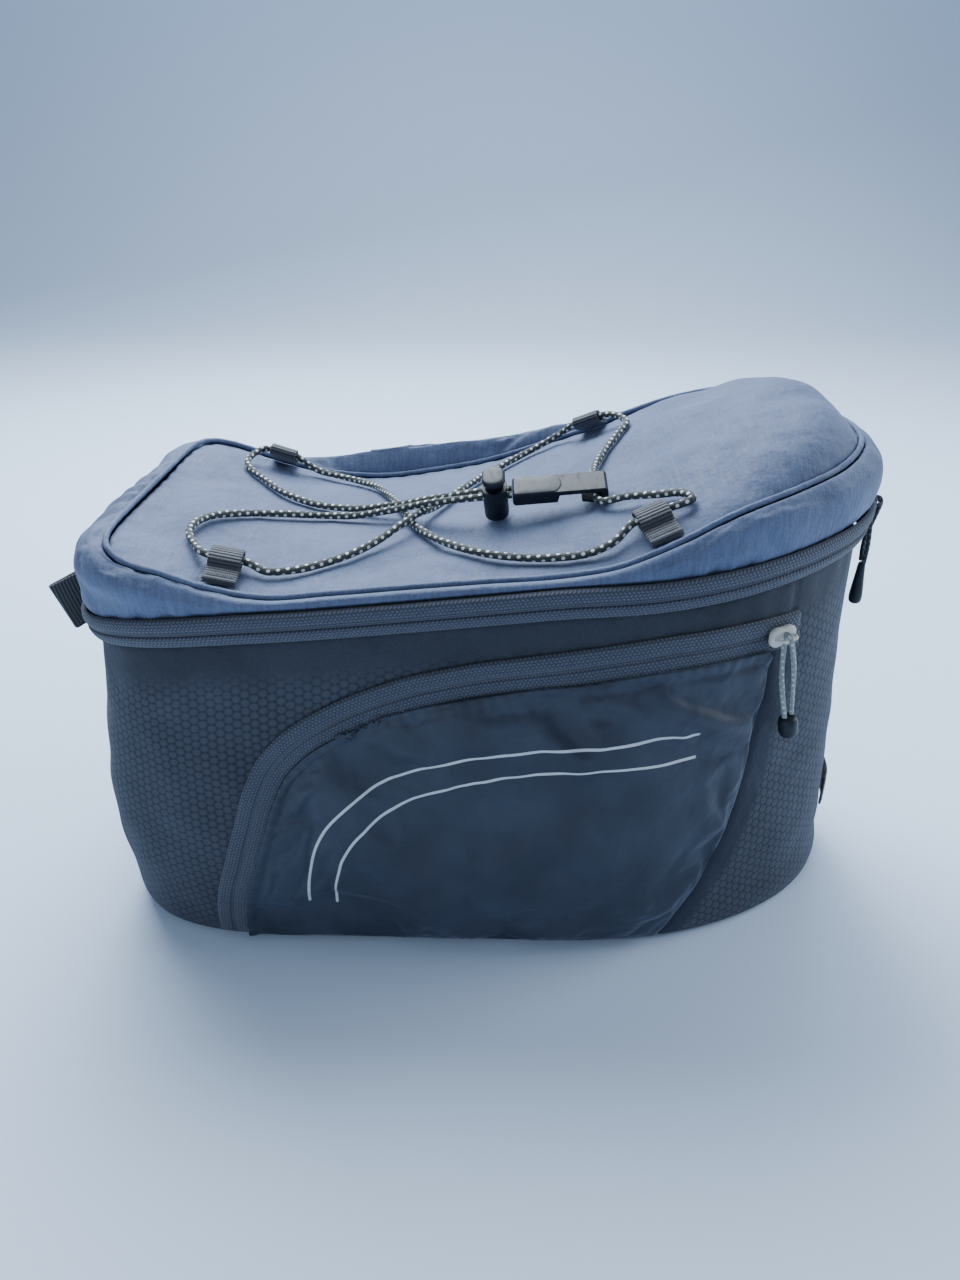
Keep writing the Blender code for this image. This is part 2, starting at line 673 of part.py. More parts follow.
# Side pockets
def side_points(x, z, side, lift):
    """Points on the body's side (side is -1 or 1), lifted off it along its normal."""
    step = 0.5 * MM

    def at(x, z):
        y = half_width_at(x, *sized(level_at(z / seam_height(x))))
        return np.stack([x, side * y, z], axis=-1)

    run = at(x + step, z) - at(x - step, z)
    rise = at(x, z + step) - at(x, z - step)
    normal = np.cross(run, rise) * -side
    normal /= np.linalg.norm(normal, axis=-1)[..., None]
    return at(x, z) + normal * np.asarray(lift)[..., None], normal


def from_shares(table, count):
    """Smooth line through a table of shares, as points in X and Z."""
    line = through(table, count)
    return np.column_stack([BAG_START + line[:, 0] * BAG_LENGTH, line[:, 1] * BAG_HEIGHT])


def beside(line, distance):
    """The line moved to its left by a distance."""
    run = np.gradient(line, axis=0)
    run /= np.linalg.norm(run, axis=1)[:, None]
    return line + np.column_stack([-run[:, 1], run[:, 0]]) * distance


def facing(rows, side):
    """Rows of points in the order whose faces point out of the given side."""
    return rows if side < 0 else rows[:, ::-1]


def build_pocket(side, label):
    line = from_shares(POCKET_ZIP_LINE, 24)
    teeth = POCKET_COIL / 2
    edge = POCKET_ZIP / 2
    lift = POCKET_STANDOFF + TAPE_WALL
    for name, low, high in (("tape_outer", teeth + SEAM_GAP, edge),
                            ("coil", -teeth, teeth),
                            ("tape_inner", -edge, -teeth - SEAM_GAP)):
        rows = []
        for distance in (low, high):
            strip = beside(line, distance)
            points, _ = side_points(strip[:, 0], strip[:, 1], side, np.full(len(strip), lift))
            rows.append(points)
        sheet(f"pocket_zip_{name}_{label}", facing(np.array(rows), side), TAPE_WALL, "zip_tape")

    inner = beside(from_shares(POCKET_ZIP_LINE, 80), -edge - SEAM_GAP)
    rear = from_shares(POCKET_REAR_LINE, 40)[::-1]
    inner = inner[inner[:, 0] < rear[-1, 0]]
    inner[0] = (inner[0, 0], POCKET_FOOT * BAG_HEIGHT)
    u = np.linspace(0, 1, 15)
    v = np.linspace(0, 1, 9)
    left = evenly(inner, v * POCKET_CORNER)
    over = evenly(inner, np.linspace(POCKET_CORNER, 1, 40))
    top = evenly(np.vstack([over, rear[-1]]), u)
    right = evenly(rear, v)
    foot = left[0] + (right[0] - left[0]) * u[:, None]
    U, V = u[None, :, None], v[:, None, None]
    flat = ((1 - V) * foot[None] + V * top[None] + (1 - U) * left[:, None] + U * right[:, None]
            - (1 - U) * (1 - V) * left[0] - U * (1 - V) * right[0]
            - (1 - U) * V * left[-1] - U * V * right[-1])
    swell = (1 - (2 * U[..., 0] - 1)**4) * (1 - (2 * V[..., 0] - 1)**4)
    lift = POCKET_STANDOFF + POCKET_WALL + POCKET_SWELL * swell
    points, _ = side_points(flat[..., 0], flat[..., 1], side, lift)
    sheet(f"pocket_panel_{label}", facing(points, side), POCKET_WALL, "pocket_cloth", even=False)


# Sliders and pulls. In a slider's frame X runs along the zip, Y up across it and Z out of the
# bag, from the back of the slider's plate.
def build_slider(name, frame, kind):
    length, height = SLIDER_LENGTH / 2, SLIDER_HEIGHT / 2
    corners = [(-length, -0.6 * height), (-0.6 * length, -height), (0.5 * length, -height),
               (length, -0.7 * height), (length, 0.7 * height), (0.5 * length, height),
               (-0.6 * length, height), (-length, 0.6 * height)]
    middle = frame @ Matrix.Translation((0, 0, SLIDER_PLATE / 2))
    body = plate(name, [corners], SLIDER_PLATE, kind, middle)
    foot = 0.66 * length
    turn = 1.2 * BAR_RADIUS
    path = [(-foot, 0, SLIDER_PLATE / 2), (-foot, 0, BAR_HEIGHT - turn), (-foot + turn, 0, BAR_HEIGHT),
            (foot - turn, 0, BAR_HEIGHT), (foot, 0, BAR_HEIGHT - turn), (foot, 0, SLIDER_PLATE / 2)]
    bar = as_mesh(tube(name + "_bar", [frame @ Vector(point) for point in path], BAR_RADIUS, kind))
    return combine(body, bar, "UNION")


def build_pull(name, frame, drop, lean, kind):
    """Cord looped round a slider's bar, both of its ends meeting the pull's end."""
    hang = SLIDER_PLATE + PULL_HANG
    under = BAR_HEIGHT - PULL_BEND
    over = BAR_HEIGHT + PULL_BEND
    half = PULL_SPREAD / 2
    rise = [(-0.7 * half, -drop, hang), (-half, -0.72 * drop, hang),
            (-0.9 * half, -0.42 * drop, hang + 0.5 * (under - hang)),
            (-0.2 * half, -SLIDER_HEIGHT / 2, under)]
    bend = [(0, PULL_BEND * sin(turn), BAR_HEIGHT - PULL_BEND * cos(turn))
            for turn in np.linspace(0, pi, 5)]
    fall = [(0.3 * half, -SLIDER_HEIGHT / 2, over - 0.1 * (over - hang)),
            (0.9 * half, -0.42 * drop, hang + 0.5 * (over - hang)), (half, -0.72 * drop, hang),
            (0.7 * half, -drop, hang)]
    tilt = frame @ Matrix.Rotation(radians(lean), 4, "Z")
    line = closer_in_bends(curve_through(rise + bend + fall), PULL_POINT_COUNT, CORD_BEND_SHARE)
    route = [tilt @ Vector(point) for point in line]
    tube(name, route, PULL_CORD_DIAMETER / 2, kind, 1)
    return tilt @ Matrix.Translation((0, -drop - SEAM_GAP, hang))


def turned(name, profile, kind, frame):
    """A round piece from radii and distances down its axis, which runs along -Y."""
    verts = [(0, -down, radius) for radius, down in profile]
    mesh = bpy.data.meshes.new(name)
    mesh.from_pydata(verts, [(i, i + 1) for i in range(len(verts) - 1)], [])
    mesh.materials.append(finish(name, kind))
    ob = bpy.data.objects.new(name, mesh)
    PARTS.objects.link(ob)
    ob.matrix_world = frame
    screw = ob.modifiers.new("turned", "SCREW")
    screw.axis = "Y"
    screw.steps = 14
    screw.render_steps = 14
    screw.use_merge_vertices = True
    screw.merge_threshold = 0.00001
    return ob


KNOB = (
    # radius, down: shares of the knob's radius and length
    (0.00, 0.00), (0.60, 0.00), (0.90, 0.10), (1.00, 0.30), (1.00, 0.68), (0.84, 0.90), (0.45, 0.99),
    (0.00, 1.00),
)
TEARDROP = (
    # radius, down: shares of the teardrop's radius and length
    (0.00, 0.00), (0.46, 0.00), (0.58, 0.06), (0.66, 0.20), (0.84, 0.52), (1.00, 0.84), (0.86, 0.95),
    (0.50, 0.99), (0.00, 1.00),
)


def build_pull_end(name, shape, diameter, length, frame):
    profile = [(radius * diameter / 2, down * length) for radius, down in shape]
    turned(name, profile, "black_plastic", frame)


def build_main_pull():
    low, high = zip_edges(np.array([0.48, 0.5, 0.52]))
    origin = (low[1] + high[1]) / 2 + (ZIP_FACE, 0, 0)
    frame = frame_of(origin, (0, 1, 0), (0, 0, 1))
    build_slider("main_zip_slider", frame, "black_plastic")
    end = build_pull("main_pull_cord", frame, MAIN_PULL_DROP, 0, "pull_cord")
    build_pull_end("main_pull_end", TEARDROP, TEARDROP_DIAMETER, TEARDROP_LENGTH, end)


def build_pocket_pull(side, label):
    line = from_shares(POCKET_ZIP_LINE, 80)
    spot = line[-4:-1]
    points, normals = side_points(spot[:, 0], spot[:, 1], side, np.zeros(3))
    # X runs to the rear at -Y and to the front at +Y, which keeps Z outwards and Y up
    run = (points[2] - points[0]) * -side
    origin = points[1] + normals[1] * (POCKET_STANDOFF + TAPE_WALL + SEAM_GAP)
    frame = frame_of(origin, run, np.cross(normals[1], run))
    build_slider(f"pocket_slider_{label}", frame, "pale_plastic")
    lean = -side * POCKET_PULL_LEAN
    end = build_pull(f"pocket_pull_cord_{label}", frame, POCKET_PULL_DROP, lean, "pull_cord")
    build_pull_end(f"pocket_pull_knob_{label}", KNOB, KNOB_DIAMETER, KNOB_LENGTH, end)


# Tab at the start of the main zip and strap on the rear end
def build_zip_tab():
    """Webbing folded on itself, its width upright where it is sewn and leaning at its fold."""
    low, high = zip_edges(np.array([0.0, TAB_PLACE / perimeter()]))
    rise = (high[1] - low[1]) / np.linalg.norm(high[1] - low[1])
    half = TAB_WALL + TAB_SLIT / 2
    root = (low[1] + high[1]) / 2 - (ZIP_FACE, 0, 0)
    fold = TAB_WIDTH * np.array(TAB_FOLD) / np.linalg.norm(TAB_FOLD)
    middle = np.array([BAG_START - TAB_REACH + fold[0] / 2, root[1] - TAB_ASIDE, root[2] - TAB_DROP])
    turn = np.linspace(-pi / 2, pi / 2, 5)
    rings = []
    for share in np.linspace(0, 1, 4):
        start = root + rise * TAB_WIDTH * (0.5 - share)
        end = middle + fold * (share - 0.5)
        length = np.linalg.norm(end - start)
        away = (end - start) / length
        face = np.cross(-rise, away)
        face /= np.linalg.norm(face)
        bend = length - half
        outer = [(bend + half * cos(a), half * sin(a)) for a in turn]
        inner = [(bend + TAB_SLIT / 2 * cos(a), TAB_SLIT / 2 * sin(a)) for a in reversed(turn)]
        shape = [(0, -half)] + outer + [(0, half), (0, TAB_SLIT / 2)] + inner + [(0, -TAB_SLIT / 2)]
        rings.append(start + np.array(shape) @ np.array([away, face]))
    loft("main_zip_tab", rings, "webbing")


def build_rear_strap():
    half = STRAP_LENGTH / 2 / perimeter()
    shares = np.linspace(0.5 - half, 0.5 + half, 13)
    swell = STRAP_RISE * np.sin(np.linspace(0, pi, 13))[:, None]
    rows = []
    for height in (STRAP_HEIGHT, STRAP_HEIGHT + STRAP_WIDTH):
        flat = outline(*sized(level_at(height / seam_height(BAG_START + BAG_LENGTH))), shares)
        points = np.column_stack([flat, np.full(13, height)])
        rows.append(points + outward(points) * (swell + SEAM_GAP + STRAP_WALL))
    sheet("rear_light_strap", rows, STRAP_WALL, "webbing")


# Elastic cord, its loops, lock and hook
def loop_frame(name):
    """Frame of a loop: Y from its root to its fold, X across the webbing, Z off the lid."""
    share, across, turn, tilt = CORD_LOOPS[name]
    x, y = BAG_START + share * BAG_LENGTH, across * HALF_WIDTH
    step = 4 * MM
    slope_x = (lid_height(x + step, y) - lid_height(x - step, y)) / (2 * step)
    points = Vector((-sin(radians(turn)), cos(radians(turn)), 0))
    tip = lid_height(x + points.x * LOOP_LENGTH, y + points.y * LOOP_LENGTH)
    slope = (tip - lid_height(x, y)) / LOOP_LENGTH
    points.z = float(slope) + sin(radians(tilt))
    across = Vector((cos(radians(turn)), sin(radians(turn)), 0))
    across.z = float(slope_x) * across.x
    height = float(lid_height(x, y)) + CORD_ROOM + LOOP_WALL / 2
    along_y = points.normalized()
    return frame_of((x, y, height), across, along_y)


def build_loop(name):
    eye_y, eye_z = LOOP_EYE
    room = CORD_DIAMETER / 2 + 1.6 * CORD_ROOM
    wide = LOOP_LENGTH - LOOP_WALL - eye_y
    turn = np.linspace(0, 2 * pi, 14, endpoint=False)
    hole = [(eye_y + wide * cos(a), eye_z + room * sin(a)) for a in turn]
    outer = [(0, 0), (0.45 * LOOP_LENGTH, 0.0)]
    for a in np.linspace(-pi / 2, 0.8 * pi, 9):
        outer.append((eye_y + (wide + LOOP_WALL) * cos(a), eye_z + (room + LOOP_WALL) * sin(a)))
    outer += [(0.3 * LOOP_LENGTH, 2.2 * LOOP_WALL), (0, 2 * LOOP_WALL)]
    frame = loop_frame(name)
    # the outline's plane is the loop's Y and Z, so its own Z runs across the webbing
    turned = frame @ Matrix(((0, 0, 1, 0), (1, 0, 0, 0), (0, 1, 0, 0), (0, 0, 0, 1)))
    plate(name, [outer, hole], LOOP_WIDTH, "webbing", turned)


def lock_frame():
    """Frame of the lock and the hook: X along the strands to the hook, Z out of the button."""
    x, y, height = (value * MM for value in LOCK_PLACE)
    run = Vector((cos(radians(LOCK_PITCH)), 0, sin(radians(LOCK_PITCH))))
    side = Vector((0, cos(radians(LOCK_LEAN)), sin(radians(LOCK_LEAN))))
    return frame_of((x, y, float(lid_height(x, y)) + height), run, side)


LOCK_FACE = LOCK_WIDTH / 2
STRAND_END = LOCK_FACE + LINK_GAP
HOOK_START = STRAND_END + SEAM_GAP
HOOK_CROOK = (HOOK_START + HOOK_LENGTH - HOOK_NOSE, -HOOK_DROP)
STRAND_DROP = 11.0 * MM    # from the strands' middle to the foot of the barrel


def cord_points():
    """The cord's middle line from the lock, over the lid and back."""
    lock = lock_frame()
    half = STRAND_PITCH / 2
    points = [lock @ Vector((x, half, 0)) for x in (STRAND_END, 0, -LOCK_FACE - 2 * MM)]
    for index, stretch in enumerate(CORD_ROUTE):
        for x, y, lift in stretch:
            x, y = x * MM, y * MM
            base = float(lid_height(x, y)) + CORD_DIAMETER / 2 + LID_ROOM
            points.append(Vector((x, y, base + lift * MM)))
        if index < len(CORD_PASSES):
            name, side = CORD_PASSES[index]
            for share in (side, 0.4 * side, -0.4 * side, -side):
                if name == "hook":
                    crook, drop = HOOK_CROOK
                    place = (crook, share * (HOOK_WIDTH / 2 + PASS_REACH), drop)
                    points.append(lock @ Vector(place))
                else:
                    place = (share * (LOOP_WIDTH / 2 + PASS_REACH), *LOOP_EYE)
                    points.append(loop_frame(name) @ Vector(place))
    points += [lock @ Vector((x, -half, 0)) for x in (-LOCK_FACE - 2 * MM, 0, STRAND_END)]
    return closer_in_bends(curve_through(points), CORD_POINT_COUNT, CORD_BEND_SHARE)


def up(frame, distance):
    return frame @ Matrix.Translation((0, 0, distance))


def build_lock():
    lock = lock_frame()
    foot = -STRAND_DROP
    rim = foot + LOCK_HEIGHT
    bore_depth = LOCK_DEPTH - 2 * LOCK_WALL
    bore_width = LOCK_WIDTH - 2 * LOCK_WALL
    bore_foot = foot + LOCK_FLOOR
    barrel = plate("cord_lock_barrel", [stadium(LOCK_DEPTH, LOCK_WIDTH)], LOCK_HEIGHT, "black_plastic",
                   up(lock, (foot + rim) / 2))
    bore_length = rim + CUT_PAST - bore_foot
    bore = plate("bore", [stadium(bore_depth, bore_width)], bore_length, None,
                 up(lock, bore_foot + bore_length / 2))
    combine(barrel, bore, "DIFFERENCE")
    slot_height = CORD_DIAMETER + 2 * CORD_ROOM
    slot_depth = STRAND_PITCH + slot_height
    slot_length = LOCK_WIDTH + 2 * CUT_PAST
    combine(barrel, box("strand_slot", (slot_length, slot_depth, slot_height), lock), "DIFFERENCE")

    stem = stadium(bore_depth - 2 * SLIDE_ROOM, bore_width - 2 * SLIDE_ROOM)
    stem_foot = bore_foot + BUTTON_TRAVEL + SLIDE_ROOM
    cap = stadium(LOCK_DEPTH - 2 * CAP_INSET, LOCK_WIDTH - 2 * CAP_INSET)
    cap_foot = rim + BUTTON_TRAVEL + SLIDE_ROOM
    rings = [with_height(stem, stem_foot), with_height(stem, cap_foot)]
    for share, rise in BUTTON_CAP_ROWS:
        rings.append(with_height(cap * share, cap_foot + rise * BUTTON_CAP))
    button = loft("cord_lock_button", rings, "black_plastic")
    button.matrix_world = lock
    stem_slot = box("stem_slot", (slot_length, slot_depth, slot_height + BUTTON_TRAVEL),
                    up(lock, BUTTON_TRAVEL / 2))
    combine(button, stem_slot, "DIFFERENCE")


def with_height(flat, height):
    return np.column_stack([flat, np.full(len(flat), height)])


def box(name, size, frame):
    bpy.ops.mesh.primitive_cube_add(size=1)
    ob = bpy.context.object
    ob.name = name
    ob.data.transform(Matrix.Diagonal((*size, 1)))
    ob.matrix_world = frame
    return ob


def build_hook():
    """Side view of the hook: a thick tail, then a plate whose end folds back under the cord."""
    start, end = HOOK_START, HOOK_START + HOOK_LENGTH
    block = start + HOOK_TAIL_SHARE * HOOK_LENGTH
    crook, drop = HOOK_CROOK
    room = CORD_DIAMETER / 2 + CORD_ROOM
    top = HOOK_BLOCK / 2
    under = drop + room
    lip = drop - room
    edge = HOOK_BLOCK / 6
    tongue = crook - HOOK_MOUTH
    shape = [
        (start, -top + edge), (start + edge, -top), (block, -top), (block + edge, under),
        (crook + room, under), (crook + room, lip), (crook - 0.4 * room, lip),
        (tongue, lip + 0.8 * HOOK_TONGUE), (tongue, lip - 0.2 * HOOK_TONGUE),
        (crook - room, lip - HOOK_TONGUE), (end - edge, lip - HOOK_TONGUE), (end, lip),
        (end, top - HOOK_PLATE + edge), (end - edge, top), (start + edge, top), (start, top - edge),
    ]
    turned_frame = lock_frame() @ Matrix(((1, 0, 0, 0), (0, 0, -1, 0), (0, 1, 0, 0), (0, 0, 0, 1)))
    plate("cord_hook", [shape], HOOK_WIDTH, "black_plastic", turned_frame)


def build_cord():
    for name in CORD_LOOPS:
        build_loop(name)
    tube("bungee_cord", cord_points(), CORD_DIAMETER / 2, "cord")
    build_lock()
    build_hook()


build_body()
build_main_zip()
build_lid()
for side, label in ((-1, "near"), (1, "far")):
    build_pocket(side, label)
    build_pocket_pull(side, label)
build_main_pull()
build_zip_tab()
build_rear_strap()
build_cord()
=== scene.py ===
from math import cos, pi, radians, sin

import bmesh
import bpy
import numpy as np
from mathutils import Matrix, Vector


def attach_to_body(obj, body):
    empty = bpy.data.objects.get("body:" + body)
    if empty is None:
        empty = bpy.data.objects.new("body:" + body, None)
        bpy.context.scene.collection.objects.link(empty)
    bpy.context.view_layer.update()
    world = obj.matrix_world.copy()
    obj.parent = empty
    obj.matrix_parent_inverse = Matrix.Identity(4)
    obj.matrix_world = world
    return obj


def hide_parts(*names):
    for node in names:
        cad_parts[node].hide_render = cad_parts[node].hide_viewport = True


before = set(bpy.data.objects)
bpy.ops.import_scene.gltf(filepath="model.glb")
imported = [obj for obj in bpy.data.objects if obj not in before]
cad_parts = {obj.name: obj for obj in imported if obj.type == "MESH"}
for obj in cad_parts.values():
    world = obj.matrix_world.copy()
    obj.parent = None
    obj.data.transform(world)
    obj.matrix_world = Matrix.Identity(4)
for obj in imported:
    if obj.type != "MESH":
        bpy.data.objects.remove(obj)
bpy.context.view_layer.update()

mm = 0.001

# camera, floor and light
viewpoint = {"place": (0.0194, -0.478, 0.386), "down": 28.0, "left": 1.7, "lens": 27.0}
studio = {
    "floor": (0.66, 0.80, 1.0), "sky": (0.62, 0.78, 1.0), "skyStrength": 0.34,
    # name: place, size, strength, colour
    "lights": {
        "overhead": ((-0.35, 0.75, 1.15), 1.0, 34.0, (0.84, 0.93, 1.0)),
        "front": ((-0.9, -1.4, 0.9), 1.0, 6.0, (0.84, 0.92, 1.0)),
        "right": ((1.3, 0.2, 0.7), 0.8, 13.0, (0.84, 0.93, 1.0)),
        "backdrop": ((0.0, 1.2, 1.9), 1.6, 34.0, (0.84, 0.93, 1.0)),
    },
}


def addCamera():
    data = bpy.data.cameras.new("camera")
    data.lens = viewpoint["lens"]
    data.sensor_width = 36
    data.clip_start = 0.01
    camera = bpy.data.objects.new("camera", data)
    camera.location = viewpoint["place"]
    camera.rotation_euler = (radians(90 - viewpoint["down"]), 0, radians(viewpoint["left"]))
    bpy.context.scene.collection.objects.link(camera)
    bpy.context.scene.camera = camera


def addLights():
    for name, (place, size, strength, colour) in studio["lights"].items():
        data = bpy.data.lights.new(name, "AREA")
        data.size = size
        data.energy = strength
        data.color = colour
        lamp = bpy.data.objects.new(name, data)
        lamp.location = place
        aim = Vector((0, 0, 0.12)) - lamp.location
        lamp.rotation_euler = aim.to_track_quat("-Z", "Y").to_euler()
        bpy.context.scene.collection.objects.link(lamp)
    world = bpy.data.worlds.new("sky")
    world.use_nodes = True
    background = world.node_tree.nodes["Background"]
    background.inputs[0].default_value = (*studio["sky"], 1)
    background.inputs[1].default_value = studio["skyStrength"]
    bpy.context.scene.world = world


addCamera()
addLights()
print("camera and lights")


# Shader maths: an Amount is a number that varies over the surface, and sums of it add Math nodes.
# An operation is one such node; backwards, the other number comes first.
def operation(kind, backwards=False):
    def work(self, *others):
        values = (*others, self) if backwards else (self, *others)
        return self.finish.maths(kind, *values)

    return work


class Amount:
    def __init__(self, finish, socket):
        self.finish = finish
        self.socket = socket

    __add__ = operation("ADD")
    __radd__ = operation("ADD", backwards=True)
    __sub__ = operation("SUBTRACT")
    __rsub__ = operation("SUBTRACT", backwards=True)
    __mul__ = operation("MULTIPLY")
    __rmul__ = operation("MULTIPLY", backwards=True)
    __truediv__ = operation("DIVIDE")
    __pow__ = operation("POWER")
    wave = operation("SINE")
    part = operation("FRACT")
    whole = operation("FLOOR")
    size = operation("ABSOLUTE")

    # 0 under low, 1 over high, smooth between
    def between(self, low, high):
        node = self.finish.node("ShaderNodeMapRange", {"interpolation_type": "SMOOTHSTEP"},
                                {0: self, 1: low, 2: high, 3: 0.0, 4: 1.0})
        return Amount(self.finish, node.outputs[0])


class Finish:
    def __init__(self, name, colour, roughness, **fixed):
        self.material = bpy.data.materials.new(name)
        self.material.use_nodes = True
        self.tree = self.material.node_tree
        self.shader = self.tree.nodes["Principled BSDF"]
        self.feed(self.shader.inputs["Base Color"], colour)
        self.shader.inputs["Roughness"].default_value = roughness
        for socket, value in fixed.items():
            self.shader.inputs[socket.replace("_", " ")].default_value = value
        self.normal = None

    def feed(self, socket, value):
        if isinstance(value, Amount):
            self.tree.links.new(value.socket, socket)
        elif isinstance(value, bpy.types.NodeSocket):
            self.tree.links.new(value, socket)
        elif isinstance(value, tuple) and len(value) == 3 and len(socket.default_value) == 4:
            socket.default_value = (*value, 1)
        else:
            socket.default_value = value

    def node(self, kind, settings=None, values=None):
        made = self.tree.nodes.new(kind)
        for key, value in (settings or {}).items():
            setattr(made, key, value)
        for key, value in (values or {}).items():
            self.feed(made.inputs[key], value)
        return made

    def maths(self, operation, *values):
        made = self.node("ShaderNodeMath", {"operation": operation}, dict(enumerate(values)))
        return Amount(self, made.outputs[0])

    # the piece's own place in metres, stretched by a factor along each axis
    def place(self, stretch=(1, 1, 1)):
        made = self.node("ShaderNodeTexCoord")
        return self.node("ShaderNodeMapping", None,
                         {"Vector": made.outputs["Object"], "Scale": tuple(stretch)}).outputs[0]

    def alongAcross(self):
        made = self.node("ShaderNodeUVMap", {"uv_map": "cloth"})
        parts = self.node("ShaderNodeSeparateXYZ", None, {0: made.outputs[0]})
        return Amount(self, parts.outputs[0]), Amount(self, parts.outputs[1])

    def noise(self, size, where=None, detail=2.0, rough=0.5):
        values = {"Vector": where or self.place(), "Scale": 1 / size, "Detail": detail, "Roughness": rough}
        made = self.node("ShaderNodeTexNoise", None, values)
        return Amount(self, made.outputs[0])

    def attribute(self, name):
        return Amount(self, self.node("ShaderNodeAttribute", {"attribute_name": name}).outputs["Fac"])

    def mix(self, share, first, second):
        made = self.node("ShaderNodeMix", {"data_type": "RGBA"}, {0: share, 6: first, 7: second})
        return made.outputs[2]

    def paint(self, colour):
        self.feed(self.shader.inputs["Base Color"], colour)

    def set(self, socket, value):
        self.feed(self.shader.inputs[socket], value)

    # relief: height 0 to 1, depth in metres
    def relief(self, height, depth, strength=1.0):
        values = {"Height": height, "Distance": depth, "Strength": strength}
        if self.normal:
            values["Normal"] = self.normal
        self.normal = self.node("ShaderNodeBump", None, values).outputs[0]
        self.feed(self.shader.inputs["Normal"], self.normal)


# what the cloths, cords and plastics look like
colours = {
    "body": (0.008, 0.011, 0.020), "bodyLight": (0.105, 0.120, 0.165),
    "lid": (0.158, 0.205, 0.345), "lidDark": (0.070, 0.094, 0.170),
    "pocket": (0.007, 0.011, 0.023), "pocketLight": (0.042, 0.058, 0.095),
    "tape": (0.018, 0.023, 0.038), "tapeLight": (0.165, 0.190, 0.260),
    "webbing": (0.012, 0.014, 0.020), "webbingLight": (0.085, 0.095, 0.125),
    "cord": (0.018, 0.024, 0.025), "cordLight": (0.085, 0.098, 0.092), "fleck": (0.80, 0.84, 0.86),
    "pull": (0.16, 0.19, 0.19), "pullLight": (0.42, 0.46, 0.46),
    "black": (0.009, 0.012, 0.021), "pale": (0.62, 0.61, 0.57), "silver": (0.62, 0.66, 0.70),
    "thread": (0.045, 0.052, 0.070), "teethDark": (0.006, 0.008, 0.013),
}


# dots on a honeycomb: three waves 60 degrees apart, their sum high at the dots
def honeycomb(finish, pitch):
    along, across = finish.alongAcross()
    rowShare = 0.866       # distance between rows of dots, as a share of the pitch
    turn = 2 * pi / (pitch * rowShare)
    second = ((along * -0.5 + across * rowShare) * turn + pi / 2).wave()
    third = ((along * -0.5 - across * rowShare) * turn + pi / 2).wave()
    return ((along * turn + pi / 2).wave() + second + third) / 3


def bodyFinish():
    cloth = Finish("bodyCloth", colours["body"], 0.82, Sheen_Weight=0.12, Sheen_Roughness=0.4,
                   Sheen_Tint=(0.7, 0.8, 1.0, 1.0))
    dots = honeycomb(cloth, 4.8 * mm).between(-0.46, 0.02)
    along, across = cloth.alongAcross()
    twill = ((along + across) * (2 * pi / (1.3 * mm))).wave() * 0.5 + 0.5
    worn = cloth.noise(45 * mm, detail=3).between(0.35, 0.7)
    grain = cloth.noise(0.9 * mm, detail=3, rough=0.7).between(0.3, 0.7)
    dotted = 1 - cloth.attribute("plain")       # 1 where the dots are, 0 near the zip
    share = dots * dotted * 0.28 + twill * (0.22 - dotted * 0.14) + worn * 0.12 + grain * 0.20 - 0.06
    gussetAndShadeShare = cloth.attribute("gussetAndShade")            # the strip behind each pocket's rear edge: pocket cloth, and painted shade of the fold along that edge
    base = cloth.mix(share, colours["body"], colours["bodyLight"])
    # painted shade: the strip takes the pocket cloth's darker colours, partly pocket cloth and partly the
    # shade of the fold along the pocket's rear edge
    gussetAndShade = cloth.mix(grain * 0.3 + worn * 0.2, colours["pocket"], colours["pocketLight"])
    cloth.paint(cloth.mix(gussetAndShadeShare, base, gussetAndShade))
    cloth.set("Roughness", 0.74 + grain * 0.2)
    cloth.relief((twill * 0.35 + dots * dotted * 0.65) * (1 - gussetAndShadeShare), 0.4 * mm, 0.9)
    cloth.relief(cloth.noise(9 * mm, detail=3), 1.4 * mm, 0.6)
    return cloth.material


def lidFinish():
    cloth = Finish("lidCloth", colours["lid"], 0.7, Specular_IOR_Level=0.35, Sheen_Weight=0.06,
                   Sheen_Roughness=0.4, Sheen_Tint=(0.75, 0.85, 1.0, 1.0))
    streaks = cloth.noise(1.3 * mm, cloth.place((1.0, 0.12, 0.12)), detail=3).between(0.3, 0.7)
    patches = cloth.noise(38 * mm, detail=4).between(0.3, 0.72)
    grain = cloth.noise(1.1 * mm, detail=3, rough=0.7).between(0.3, 0.7)
    share = streaks * 0.34 + patches * 0.30 + grain * 0.28
    cloth.paint(cloth.mix(share, colours["lidDark"], colours["lid"]))
    cloth.set("Roughness", 0.60 + streaks * 0.2)
    cloth.relief(streaks * 0.6 + grain * 0.4, 0.22 * mm, 0.8)
    cloth.relief(cloth.noise(17 * mm, detail=4, rough=0.5), 3.4 * mm, 0.75)
    return cloth.material


